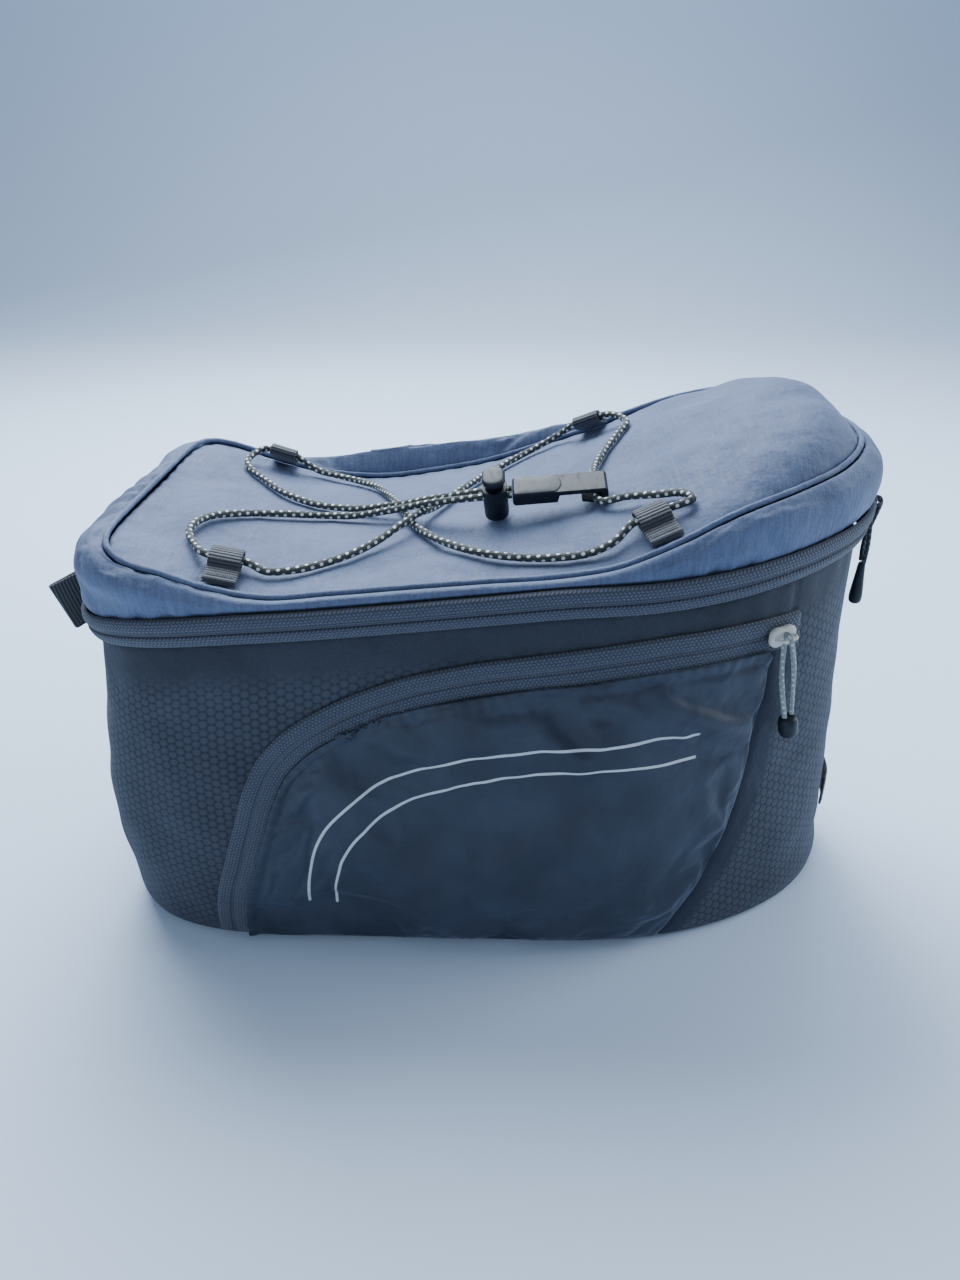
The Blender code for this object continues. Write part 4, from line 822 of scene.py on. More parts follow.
def addMainZip():
    shares, around, start, stop = zipShares(420)
    middle = bag["zipBand"] / 2
    inner = middle - zipBand["teeth"] / 2 + 0.35 * mm
    gap = zipBand["gap"]
    bandStrip("mainTapeLower", shares, gap, inner, zipBand["puff"], "tape", ["main_zip_tape_lower"])
    upper = (bag["zipBand"] - inner, bag["zipBand"] - gap)
    bandStrip("mainTapeUpper", shares, *upper, zipBand["puff"], "tape", ["main_zip_tape_upper"])
    fine = np.linspace(start, stop, 2000)
    heights = middle + np.linspace(-1, 1, 9) * zipBand["teeth"] / 2
    points = bandRows(fine, heights, np.full(9, 0.9 * mm))
    normal = gridNormals(points, False)
    addTeeth("mainTeeth", points, normal, lengths(points[4]), ["main_zip_coil"], zipBand["pitch"])
    rest = np.linspace(stop + gap / around, 1 + start - gap / around, 420)
    wrapped = np.where(rest > 1, rest - 1, rest)
    order = np.argsort(wrapped)
    t = np.linspace(0, 1, 9)
    heights = gap + (bag["zipBand"] - 2 * gap) * t
    proud = bag["tapeWall"] + 1.6 * mm * (1 - (2 * t - 1)**4) - 0.8 * mm * (t == 0) - 0.8 * mm * (t == 1)
    inOrder = bandRows(wrapped[order], heights, proud)
    points = np.empty_like(inOrder)
    points[:, order] = inOrder
    points += gridNormals(points, False) * (waves(points, 0.03, 8) * 0.4 * mm)[..., None]
    along = lengths(points[4])
    uv = np.stack(np.broadcast_arrays(along[None], heights[:, None]), -1)
    ob = addPiece("lidHingeBand", points, "body", uv=uv, wall=2.6 * mm, replaces=["lid_hinge"],
                  values={"plain": np.ones(points.shape[:2]), "gussetAndShade": np.zeros(points.shape[:2])})


addMainZip()
print("main zip")


# lid: panel, piping and padded rim
lid = {
    "round": 420, "rows": 60, "panelWall": 2.0 * mm, "rimWall": 2.3 * mm, "piping": 1.5 * mm, "rimRows": 30,
    "halfSpan": 95 * mm,       # from the middle of the lid to its edge, for what fades away from the edge
    # creases of the panel: start x, y, end x, y, width, depth (all in mm; a negative depth is a ridge)
    "creases": [
        (-150, -62, -112, -30, 9, 1.5), (-158, 20, -120, 34, 10, 1.2), (-60, -80, 6, -52, 9, 1.2),
        (-40, 40, -2, 70, 9, 1.1), (20, -20, 74, 10, 10, 1.0), (96, -60, 150, -30, 11, 1.6),
        (106, 50, 150, 24, 11, 1.5), (140, -10, 178, 6, 10, 1.4), (-120, -5, -70, 26, 12, -0.7),
        (20, 30, 66, 58, 9, 1.0), (-100, 54, -60, 80, 8, 1.2), (66, -84, 84, -60, 6, -0.6),
        (-150, -40, -158, 30, 9, 1.0), (112, -20, 132, 28, 9, 0.9), (-24, -76, 30, -90, 7, 1.0),
    ],
    "folds": [(0.05, 0.7, 11), (0.021, 0.25, 12)],
    "cordRoom": 16 * mm,       # within this of the cord the panel stays smooth
    "relax": {"pressure": 0.5, "slack": 0.02, "stiff": 0.4, "cap": 1.8 * mm, "inward": 1.4 * mm},
}


# A crease is a soft valley along a line between two points, fading at both of its ends
def creases(x, y, table):
    total = np.zeros(x.shape)
    for x0, y0, x1, y1, width, depth in np.array(table, float):
        run = np.array([x1 - x0, y1 - y0]) * mm
        size = np.linalg.norm(run)
        run /= size
        along = ((x - x0 * mm) * run[0] + (y - y0 * mm) * run[1]) / size
        off = ((x - x0 * mm) * -run[1] + (y - y0 * mm) * run[0]) / (width * mm)
        total -= depth * mm * np.exp(-off**2) * np.exp(-((along - 0.5) * 2.2)**4)
    return total


def pipingPoints(shares):
    flat = outlineAt(*sized(*pipingLine), shares) + (0, bag["lidShift"])
    return np.column_stack([flat, lidHeight(flat[:, 0], flat[:, 1])])


# 1 at the two front corners of a plan line, 0 away from them
def cornered(line):
    away = np.hypot(line[:, 0] - bagStart - 0.03, np.abs(line[:, 1]) - 0.085)
    return np.exp(-(away / 0.045)**2)


# The lid's edge, its outward directions, its length from the start, and how far the piping reaches
lidShares = np.arange(lid["round"]) / lid["round"]
lidEdge = pipingPoints(lidShares)
lidOut = levelOut(lidEdge, True)
lidAround = lengths(np.vstack([lidEdge, lidEdge[:1]]))
pipingReach = lid["piping"] * 0.75


# Panel: rings that shrink to the bag's middle line, each point put on the lid's height
def addLidPanel():
    count = lid["round"]
    inside = lidEdge[:, :2] - lidOut[:, :2] * pipingReach
    core = np.column_stack([np.clip(lidEdge[:, 0], frontX, rearX + 0.05), np.full(count, bag["lidShift"])])
    k = np.linspace(1, 0.02, lid["rows"])[:, None, None]**0.9
    flat = core + (inside - core) * k
    height = lidHeight(flat[..., 0], flat[..., 1])
    points = np.concatenate([flat, height[..., None]], -1)
    fromEdge = (1 - k[..., 0]) * lid["halfSpan"]
    nearEdge = np.exp(-fromEdge / (3.5 * mm))
    under = np.linalg.norm(points[:, :, None, :2] - bungeePath[None, None, ::8, :2], axis=-1).min(-1)
    free = np.clip(under / lid["cordRoom"], 0, 1)
    soft = creases(points[..., 0], points[..., 1], lid["creases"]) * (0.35 + 0.65 * free)
    soft = soft + unevenness(points, lid["folds"]) * (0.2 + 0.8 * free) * (1 - nearEdge)
    soft = np.where(soft < 0, soft * 1.5, np.minimum(soft, 1.1 * mm * free + 0.35 * mm))
    points[..., 2] += soft - nearEdge * 1.2 * mm
    s = lidAround[:-1]
    pucker = np.sin(s * 2 * pi / 0.012 + 3 * np.sin(s * 23)) * (0.4 + 0.6 * np.sin(s * 11)**2)
    points[..., 2] += pucker[None] * np.exp(-fromEdge / (8 * mm)) * 0.35 * mm
    ob = addPiece("lidPanel", points, "lid", closed=True, zipped=True, wall=lid["panelWall"], even=False,
                  replaces=["lid_panel"])


# Piping: a thin tube with a slight unevenness
def addLidPiping():
    s = lidAround[:-1]
    wobble = 1 + 0.06 * np.sin(s * 2 * pi / 0.009 + 2 * np.sin(s * 40))
    path = lidEdge + (0, 0, 0.5 * lid["piping"])
    tube = tubePoints(path, lid["piping"] * 0.93 * wobble, 12, (0, 0, 1), closed=True)
    addClosedTube("lidPiping", tube, "lid", ["lid_piping"], lidAround)


# Rim: a cubic curve from the zip's upper edge, bowed out, to the piping, moved along its own
# direction by puckers across it, broad waves, a hollow at the front corners and sunk edges
def addLidRim():
    flat = outlineAt(*sized(*zipTop), lidShares)
    low = np.column_stack([flat, seamHeight(flat[:, 0]) + bag["zipBand"] + 0.3 * mm])
    lowOut = levelOut(low, True)
    high = lidEdge + lidOut * pipingReach
    drop = np.maximum(high[:, 2] - low[:, 2], 0)
    inset = np.linalg.norm(high[:, :2] - low[:, :2], axis=1)
    side = (1 + np.clip(low[:, 1] / (0.3 * bag["halfWidth"]), -1, 1)) / 2
    share = (lidEdge[:, 0] - bagStart) / bagLength
    nearRoll, farRoll = (smoothAt(share, lidRows[:, 0], lidRows[:, c]) for c in (4, 5))
    roll = bagHeight * (nearRoll + (farRoll - nearRoll) * side)
    up = np.array([0, 0, 1.0])
    first = low + up * (0.5 * drop + roll)[:, None] + lowOut * (0.2 * drop)[:, None]
    second = high + up * roll[:, None] + lidOut * (0.6 * inset)[:, None]
    t = np.linspace(0, 1, lid["rimRows"])[:, None, None]
    points = (1 - t)**3 * low + 3 * (1 - t)**2 * t * first + 3 * (1 - t) * t**2 * second + t**3 * high
    normal = gridNormals(points, True)
    t = t[..., 0]
    # puckers cross the rim, deepest in front and at the far side, and fade where the rim is narrow
    s = lidAround[:-1][None]
    width = np.linalg.norm(np.diff(points, axis=0), axis=-1).sum(0)
    loose = np.clip((width - 0.012) / 0.03, 0, 1)[None]
    rearness = np.clip((lidEdge[:, 0] - 0.10) / 0.06, 0, 1)[None]
    frontness = np.clip((frontX - 0.035 - lidEdge[:, 0]) / 0.05, 0, 1)[None]
    across = np.sin(s * 2 * pi / 0.0155 + 4.5 * np.sin(s * 17) + 3.0 * t + 2.5 * np.sin(s * 43 + 1))
    across = across * (0.5 + 0.5 * np.sin(s * 37 + 2))
    narrow = np.exp(-(1 - t) / 0.28) + 0.45 * np.exp(-t / 0.2)
    fold = across * narrow * (0.45 + 2.1 * frontness) * loose * 1.0 * mm
    broad = waves(points, 0.045, 21) * 1.0 * mm * loose * np.sin(pi * t)
    broad = broad + waves(points, 0.018, 22) * 0.4 * mm * loose
    edges = np.exp(-t / 0.03) * 0.8 * mm + np.exp(-(1 - t) / 0.03) * 0.9 * mm
    # near the front corners the lower half falls in and the upper half stands proud
    hollow = np.exp(-((t - 0.55) / 0.2)**2) * 1.6 - np.exp(-((t - 0.2) / 0.12)**2) * 2.4
    hollow = hollow * mm * cornered(lidEdge)[None] * loose
    points = points + normal * (fold + hollow + broad * np.sin(pi * t) - edges)[..., None]
    tuck = points[0] - lowOut * 1.4 * mm - (0, 0, 3.2 * mm)
    points = np.concatenate([tuck[None], points])
    room = np.broadcast_to(loose * (1 - 0.5 * rearness), points.shape[:2])
    ob = addPiece("lidRim", points, "lid", closed=True, wall=lid["rimWall"], even=False, replaces=["lid_rim"],
                  relax={**lid["relax"], "room": room})


# A tube that runs round and meets itself: rings of points, closed both ways
def addClosedTube(name, rings, finish, replaces, around):
    count, sides = rings.shape[:2]
    i, j = np.meshgrid(np.arange(count), np.arange(sides), indexing="ij")
    nextI, nextJ = (i + 1) % count, (j + 1) % sides
    faces = np.stack([i * sides + j, nextI * sides + j, nextI * sides + nextJ, i * sides + nextJ], -1)
    mesh = bpy.data.meshes.new(name)
    mesh.from_pydata(rings.reshape(-1, 3).tolist(), [], faces.reshape(-1, 4).tolist())
    low, high = j * 0.8 * mm, (j + 1) * 0.8 * mm
    corner = np.stack([around[i], low, around[i + 1], low, around[i + 1], high, around[i], high], -1)
    mesh.uv_layers.new(name="cloth").data.foreach_set("uv", corner.ravel())
    return attach(addObject(name, mesh, finishes[finish]), replaces)


addLidPanel()
addLidPiping()
addLidRim()
print("lid")


# side pockets
pocket = {
    "standoff": 0.5 * mm, "wall": 1.6 * mm, "swell": 4.2 * mm, "zip": 17 * mm, "teeth": 2.2 * mm,
    "foot": 0.022, "corner": 0.43, "overlap": 1.2 * mm,
    "zipLine": [
        (0.177, 0.030), (0.180, 0.105), (0.199, 0.207), (0.216, 0.290), (0.231, 0.361), (0.256, 0.436),
        (0.295, 0.496), (0.352, 0.545), (0.427, 0.590), (0.501, 0.617), (0.600, 0.642), (0.710, 0.664),
        (0.790, 0.671), (0.868, 0.674),
    ],
    # creases on the side: start x, z, end x, z, width, depth
    "creases": [
        (-92, 20, -70, 104, 7, 1.6), (-104, 12, -88, 60, 6, 1.4), (60, 150, 118, 118, 8, 2.0),
        (84, 158, 132, 132, 6, -1.2), (-60, 118, -20, 92, 9, 1.4), (-6, 134, 30, 104, 9, 1.6),
        (100, 34, 128, 96, 8, 1.5), (-30, 16, 40, 30, 10, 1.2), (36, 142, 62, 118, 6, -1.0),
        (-86, 90, -60, 118, 6, -1.0), (88, 60, 60, 20, 8, 1.2), (112, 100, 132, 60, 7, -1.0),
    ],
    # two plain reflective arcs: reach and height of each from their shared corner, in mm
    "arcCorner": (112, 20), "arcs": [(192, 114), (178, 101)],
    "folds": [(0.055, 1.6, 0), (0.024, 0.6, 1)], "seeds": {-1: 31, 1: 37},
    "relax": {"pressure": 0.35, "slack": 0.025, "stiff": 0.15, "cap": 2.2 * mm, "inward": 1.6 * mm},
}


# Points on the body's side, lifted along its own direction. side is -1 (near) or 1 (far).
def sidePoints(x, z, side, lift):
    step = 0.5 * mm

    def at(x, z):
        y = halfWidthAt(x, *levelSizes(z / seamHeight(x)))
        return np.stack([x, side * y, z], -1)

    run = at(x + step, z) - at(x - step, z)
    rise = at(x, z + step) - at(x, z - step)
    normal = np.cross(run, rise) * -side
    normal /= np.linalg.norm(normal, axis=-1)[..., None]
    base = at(x, z)
    dent = bodyDents(base)
    return base + normal * (dent + lift)[..., None], normal


def fromShares(table, count):
    line = through(np.array(table), count)
    return np.column_stack([bagStart + line[:, 0] * bagLength, line[:, 1] * bagHeight])


def beside(line, distance):
    run = np.gradient(line, axis=0)
    run /= np.linalg.norm(run, axis=1)[:, None]
    return line + np.column_stack([-run[:, 1], run[:, 0]]) * distance


# A quarter of a rounded arc, from low in front to high behind
def arc(reach, height):
    turn = np.linspace(0.03, pi / 2, 24)
    corner = np.array(pocket["arcCorner"])
    return corner + np.column_stack([-reach * np.cos(turn)**0.72, height * np.sin(turn)**0.72])


# Signed distance of points to a line (positive above it), and 1 beside it or 0 past its ends
def distanceTo(x, z, line):
    line = through(np.array(line, float) * mm, 60)
    a, run = line[:-1], np.diff(line, axis=0)
    p = np.stack([x, z], -1)[..., None, :] - a
    t = np.clip((p * run).sum(-1) / (run * run).sum(-1), 0, 1)
    off = p - run * t[..., None]
    reach = np.linalg.norm(off, axis=-1)
    pick = reach.argmin(-1)[..., None]
    turned = np.take_along_axis(run[:, 0] * off[..., 1] - run[:, 1] * off[..., 0], pick, -1)[..., 0]
    place = (np.take_along_axis(t, pick, -1) + pick)[..., 0]
    beside = np.clip(place, 0, 1) * np.clip(len(run) - place, 0, 1)
    return np.sign(turned) * np.take_along_axis(reach, pick, -1)[..., 0], beside


def facing(points, side):
    return points if side < 0 else points[:, ::-1]


def addPocketZip(side, label):
    line = fromShares(pocket["zipLine"], 260)
    along = lengths(line)
    half, teeth = pocket["zip"] / 2, pocket["teeth"] / 2
    t = np.linspace(0, 1, 8)
    edges = {"outer": (teeth - 0.3 * mm, half), "inner": (-half - 0.6 * mm, -teeth + 0.3 * mm)}
    for part, (low, high) in edges.items():
        sunk = 1 if part == "outer" else 0              # the edge that is sewn down
        rows = []
        for share in t:
            strip = beside(line, low + (high - low) * share)
            bow = 1.4 * mm + 0.5 * mm * (1 - (2 * share - 1)**4) - 0.8 * mm * (share == sunk)
            lift = np.full(len(strip), pocket["standoff"] + bow)
            rows.append(sidePoints(strip[:, 0], strip[:, 1], side, lift)[0])
        uv = np.stack(np.broadcast_arrays(along[None], (low + (high - low) * t)[:, None]), -1)
        addPiece(f"pocketTape_{part}_{label}", facing(np.array(rows), side), "tape", uv=facing(uv, side),
                 wall=1.0 * mm, replaces=[f"pocket_zip_tape_{part}_{label}"])
    fine = fromShares(pocket["zipLine"], 1300)
    rows, normals = [], []
    for height in np.linspace(-teeth, teeth, 9):
        strip = beside(fine, height)
        lift = np.full(len(strip), pocket["standoff"] + 1.0 * mm)
        point, normal = sidePoints(strip[:, 0], strip[:, 1], side, lift)
        rows.append(point)
        normals.append(normal)
    points, normal = facing(np.array(rows), side), facing(np.array(normals), side)
    addTeeth(f"pocketTeeth_{label}", points, normal, lengths(fine), [f"pocket_zip_coil_{label}"],
             zipBand["pitch"])


# Panel: a patch between its front and upper edge by the zip, its rear edge and its foot. The four
# edges are blended across the patch, and its lift off the body swells in the middle.
def addPocketPanel(side, label):
    inner = beside(fromShares(pocket["zipLine"], 200), pocket["overlap"] - pocket["zip"] / 2)
    rear = fromShares(pocketRear, 80)[::-1]
    inner = inner[inner[:, 0] < rear[-1, 0]]
    inner[0] = (inner[0, 0], pocket["foot"] * bagHeight)
    u, v = np.linspace(0, 1, 130), np.linspace(0, 1, 84)
    left = evenly(inner, v * pocket["corner"])
    over = evenly(inner, np.linspace(pocket["corner"], 1, 120))
    top = evenly(np.vstack([over, rear[-1]]), u)
    right = evenly(rear, v)
    foot = left[0] + (right[0] - left[0]) * u[:, None]
    u, v = u[None, :, None], v[:, None, None]
    flat = ((1 - v) * foot[None] + v * top[None] + (1 - u) * left[:, None] + u * right[:, None]
            - (1 - u) * (1 - v) * left[0] - u * (1 - v) * right[0]
            - (1 - u) * v * left[-1] - u * v * right[-1])
    x, z = flat[..., 0], flat[..., 1]
    swell = (1 - (2 * u[..., 0] - 1)**4) * (1 - (2 * v[..., 0] - 1)**4)
    seed = pocket["seeds"][side]
    space = np.stack([x, np.zeros_like(x), z], -1)
    soft = creases(x, z, pocket["creases"]) * 1.7 + unevenness(space, pocket["folds"], seed)
    ground = pocket["standoff"] + pocket["wall"]
    lift = ground + pocket["swell"] * swell + soft * np.sqrt(np.clip(swell, 0, 1))
    # the edges by the zip are folded into a soft hem that lies over the tape
    rim = np.linalg.norm(flat[:, :, None] - np.vstack([left[::4], top[::4]])[None, None], axis=-1).min(-1)
    lift = lift + 2.1 * mm * np.exp(-(rim / (2.8 * mm))**2)
    lift = lift + 0.7 * mm * np.exp(-((rim - 3.4 * mm) / (1.8 * mm))**2)
    lift = np.maximum(lift, ground - 0.2 * mm)
    points = sidePoints(x, z, side, lift)[0]
    (upper, besideUpper), (lower, besideLower) = (distanceTo(x, z, arc(*sizes)) for sizes in pocket["arcs"])
    ends = np.where(np.abs(upper) < np.abs(lower), besideUpper, besideLower)
    lines = {"upperStripe": upper, "lowerStripe": lower, "stripeEnds": ends}
    ob = addPiece(f"pocketPanel_{label}", facing(points, side), "pocket", uv=facing(flat, side),
                  wall=1.3 * mm, even=False, levels=1, replaces=[f"pocket_panel_{label}"],
                  relax=pocket["relax"], values={key: facing(value, side) for key, value in lines.items()})


for side, label in ((-1, "near"), (1, "far")):
    addPocketZip(side, label)
    addPocketPanel(side, label)
print("pockets")


# webbing: a strip of two faces and rounded edges that follows a path
def addWebbing(name, path, across, width, wall, replaces):
    path, across = np.asarray(path, float), np.asarray(across, float)
    run = np.gradient(path, axis=0)
    run /= np.linalg.norm(run, axis=1)[:, None]
    across = np.broadcast_to(across, path.shape)
    across = across / np.linalg.norm(across, axis=1)[:, None]
    up = np.cross(run, across)
    # cross section: a flat bar with round edges
    turn = np.linspace(-pi / 2, pi / 2, 5)
    edge = width / 2 - wall / 2
    right = np.column_stack([edge + wall / 2 * np.cos(turn), wall / 2 * np.sin(turn)])
    spots = np.linspace(edge, -edge, 9)[1:-1]
    upper = np.column_stack([spots, np.full(7, wall / 2)])
    section = np.vstack([right, upper, -right, -upper])
    points = path[:, None] + across[:, None] * section[None, :, :1] + up[:, None] * section[None, :, 1:]
    along = lengths(path)
    loopAcross = np.r_[lengths(section), lengths(np.vstack([section, section[:1]]))[-1]]
    uv = np.stack(np.broadcast_arrays(along[:, None], loopAcross[None]), -1)
    return addPiece(name, points, "webbing", uv=uv, closed=True, caps=(0, -1), flip=True, replaces=replaces)


def placed(matrix, points):
    points = np.asarray(points, float)
    matrix = np.array(matrix)
    return points @ matrix[:3, :3].T + matrix[:3, 3]


def directed(matrix, vector):
    return np.array(matrix)[:3, :3] @ np.asarray(vector, float)


places = {
    "cord_loop_front_near": Matrix([
        [0.97136, -0.03594, 0.23486, -0.10933], [0.06792, 0.98925, -0.12954, -0.09100],
        [-0.22768, 0.14178, 0.96336, 0.20632], [0, 0, 0, 1]]),
    "cord_loop_rear_near": Matrix([
        [0.91163, -0.26251, -0.31625, 0.08975], [0.19377, 0.95309, -0.23254, -0.08807],
        [0.36245, 0.15071, 0.91973, 0.22851], [0, 0, 0, 1]]),
    "cord_loop_front_far": Matrix([
        [-0.95544, 0.11113, 0.27347, -0.11578], [0, -0.92642, 0.37648, 0.08595],
        [0.29519, 0.35970, 0.88514, 0.20744], [0, 0, 0, 1]]),
    "cord_loop_rear_far": Matrix([
        [-0.89820, -0.30046, -0.32088, 0.07121], [0.19092, -0.92414, 0.33093, 0.08504],
        [-0.39597, 0.23598, 0.88742, 0.23087], [0, 0, 0, 1]]),
    "lock": Matrix([
        [0.99540, -0.03265, -0.09011, 0.01350], [0, 0.94020, -0.34063, -0.03100],
        [0.09585, 0.33906, 0.93587, 0.22935], [0, 0, 0, 1]]),
    "main_pull_end": Matrix([
        [0, 0, 1, 0.20931], [1, 0, 0, 0],
        [0, 1, 0, 0.18208], [0, 0, 0, 1]]),
    "pocket_pull_knob_near": Matrix([
        [0.85975, -0.17272, 0.48062, 0.15641], [0.48010, -0.04760, -0.87592, -0.08132],
        [0.17417, 0.98382, 0.04200, 0.13578], [0, 0, 0, 1]]),
    "pocket_pull_knob_far": Matrix([
        [-0.85975, -0.17272, 0.48062, 0.15641], [0.48010, 0.04760, 0.87592, 0.08132],
        [-0.17417, 0.98382, 0.04200, 0.13578], [0, 0, 0, 1]]),
    "main_zip_slider": Matrix([
        [0, 0, 1, 0.20531], [1, 0, 0, 0],
        [0, 1, 0, 0.21638], [0, 0, 0, 1]]),
    "pocket_slider_near": Matrix([
        [0.87619, -0.03610, 0.48062, 0.14683], [0.48163, 0.02809, -0.87592, -0.07992],
        [0.01812, 0.99895, 0.04200, 0.17920], [0, 0, 0, 1]]),
    "pocket_slider_far": Matrix([
        [-0.87619, -0.03610, 0.48062, 0.14683], [0.48163, -0.02809, 0.87592, 0.07992],
        [-0.01812, 0.99895, 0.04200, 0.17920], [0, 0, 0, 1]]),
}
loops = {
    "width": 15 * mm, "length": 24 * mm, "wall": 1.3 * mm, "eye": (16.8 * mm, 4.0 * mm), "room": 2.44 * mm,
}
tab = {
    "width": 25 * mm, "wall": 1.3 * mm, "slit": 0.8 * mm, "place": 23 * mm, "stand": 3.3 * mm,
    "reach": 20 * mm, "aside": 20 * mm, "drop": 7.3 * mm, "fold": (13.0, -6.0, -21.5),
}
strap = {"width": 19 * mm, "length": 44 * mm, "height": 38.5 * mm, "rise": 1.8 * mm, "wall": 1.3 * mm}


# Short stitches side by side: each a small rounded bar laid on a surface
def addStitches(name, starts, ends, up, radius=0.28 * mm):
    starts, ends, up = (np.asarray(a, float) for a in (starts, ends, up))
    run = ends - starts
    run /= np.linalg.norm(run, axis=1)[:, None]
    side = np.cross(run, up)
    t = np.array([0.0, 0.12, 0.5, 0.88, 1.0])
    size = np.array([0.25, 0.85, 1.0, 0.85, 0.25]) * radius
    sink = np.array([-0.9, -0.1, 0.25, -0.1, -0.9]) * radius
    turn = np.linspace(0, 2 * pi, 6, endpoint=False)
    middle = starts[:, None] + (ends - starts)[:, None] * t[None, :, None] + up[:, None] * sink[None, :, None]
    cosine, sine = (part(turn)[None, None, :, None] for part in (np.cos, np.sin))
    ring = side[:, None, None] * cosine + up[:, None, None] * sine
    points = middle[:, :, None] + ring * size[None, :, None, None]
    count = len(starts)
    faces = gridFaces(5, 6, True)[:, ::-1]
    start = (np.arange(count) * 30)[:, None]            # each stitch has 30 points
    allFaces = (faces[None] + start[:, None]).reshape(-1, 4).tolist()
    allFaces += (np.arange(6)[None] + start).tolist()
    allFaces += ((29 - np.arange(6))[None] + start).tolist()
    mesh = bpy.data.meshes.new(name)
    mesh.from_pydata(points.reshape(-1, 3).tolist(), [], allFaces)
    return attach(addObject(name, mesh, finishes["thread"]))


# A loop's side view: out along the lid, round the cord's eye and back over itself
def addLoop(name):
    matrix = places[name]
    eyeY, eyeZ = loops["eye"]
    wide = loops["length"] - loops["wall"] - eyeY + loops["wall"] / 2
    tall = loops["room"] + loops["wall"] / 2
    turn = np.linspace(-pi / 2, 0.78 * pi, 40)
    length, wall = loops["length"], loops["wall"]
    path = [(0, 0.65 * mm), (eyeY * 0.5, 0.65 * mm)]
    path += list(zip(eyeY + wide * np.cos(turn), eyeZ + tall * np.sin(turn)))
    path += [(0.42 * length, 2.3 * wall), (0.2 * length, 1.65 * wall), (0, 1.6 * wall)]
    path = through(np.array(path), 130)
    line = placed(matrix, np.column_stack([np.zeros(len(path)), path]))
    label = name.removeprefix("cord_loop_")
    addWebbing("webLoop_" + label, line, directed(matrix, (1, 0, 0)), loops["width"], wall * 0.96, [name])
    # bar tack near the root
    spots = np.linspace(-5.6, 5.6, 13) * mm
    top = 2.08 * mm + 0.75 * mm
    starts = placed(matrix, np.column_stack([spots, np.full(13, 2.2 * mm), np.full(13, top)]))
    ends = placed(matrix, np.column_stack([spots, np.full(13, 4.4 * mm), np.full(13, top)]))
    up = np.broadcast_to(directed(matrix, (0, 0, 1)), starts.shape)
    addStitches("loopTack_" + label, starts, ends, up)


for name in ("cord_loop_front_near", "cord_loop_rear_near", "cord_loop_front_far", "cord_loop_rear_far"):
    addLoop(name)


# Tab: webbing folded on itself. Rows run across its width, from an upright root on the zip to a
# leaning fold; along each row lies the outline of the folded strip.
def addTab():
    around = lengths(outlineAt(*sized(*bodyLevels[-1, 1:]), np.linspace(0, 1, 800)))[-1]
    low, high = bandRows([0, tab["place"] / around], [0, bag["zipBand"]], [0, 0])[:, 1]
    rise = (high - low) / np.linalg.norm(high - low)
    root = (low + high) / 2 - (tab["stand"], 0, 0)
    fold = np.array(tab["fold"]) * tab["width"] / np.linalg.norm(tab["fold"])
    middle = np.array([bagStart - tab["reach"] + fold[0] / 2, root[1] - tab["aside"], root[2] - tab["drop"]])
    share = np.r_[0, 0.006, 0.022, np.linspace(0.06, 0.94, 34), 0.978, 0.994, 1][:, None]
    thick = np.r_[0.3, 0.75, 0.96, np.ones(34), 0.96, 0.75, 0.3][:, None] * tab["wall"] * 0.48
    start = root + rise * tab["width"] * (0.5 - share)
    away = middle + fold * (share - 0.5) - start
    size = np.linalg.norm(away, axis=1)[:, None]
    away = away / size
    face = np.cross(-rise, away)
    face /= np.linalg.norm(face, axis=1)[:, None]
    # the folded strip's middle line: out, round, and back
    half = (tab["wall"] + tab["slit"]) / 2
    turn = np.linspace(-pi / 2, pi / 2, 16)
    out = np.r_[np.linspace(0, 0.98, 30), np.ones(16), np.linspace(0.98, 0, 30)]
    bendOut = np.r_[np.zeros(30), np.cos(turn), np.zeros(30)]
    bendUp = np.r_[-np.ones(30), np.sin(turn), np.ones(30)]
    puff = 0.5 * mm * np.sin(pi * out)**2 * bendUp
    length = size - half - tab["wall"] / 2
    along = out * length + bendOut * (half + thick)
    inside = out * length + bendOut * (half - thick)
    above = bendUp * (half + thick) + puff
    below = bendUp * (half - thick) + puff
    u = np.concatenate([along, inside[:, ::-1]], 1)[..., None]
    v = np.concatenate([above, below[:, ::-1]], 1)[..., None]
    points = start[:, None] + away[:, None] * u + face[:, None] * v
    uv = np.stack(np.broadcast_arrays(np.c_[u[..., 0], u[:, :1, 0]], share * tab["width"]), -1)
    addPiece("zipTab", points, "webbing", uv=uv, closed=True, caps=(0, -1), replaces=["main_zip_tab"])


# Strap on the rear end: follows the body, standing off it in the middle
def addStrap():
    half = strap["length"] / 2 / 1.005
    shares = np.linspace(0.5 - half, 0.5 + half, 80)
    height = strap["height"] + strap["width"] / 2
    flat = outlineAt(*levelSizes(height / seamHeight(bagStart + bagLength)), shares)
    points = np.column_stack([flat, np.full(len(flat), height)])
    out = levelOut(points, False)
    bow = strap["rise"] * np.sin(np.linspace(0, pi, 80))**0.7
    line = points + out * (bow + 0.3 * mm + strap["wall"] / 2)[:, None]
    addWebbing("rearStrap", line, (0, 0, -1), strap["width"], strap["wall"] * 0.95, ["rear_light_strap"])
    for end, label in ((3, "left"), (-4, "right")):
        rise = np.linspace(-7.5, 7.5, 15) * mm
        run = (line[end + (1 if end > 0 else -1)] - line[end]) * 1.6
        starts = line[end] + out[end] * 0.66 * mm + np.column_stack([np.zeros(15), np.zeros(15), rise])
        addStitches("strapTack_" + label, starts, starts + run, np.broadcast_to(out[end], starts.shape))


addTab()
addStrap()
print("webbing")


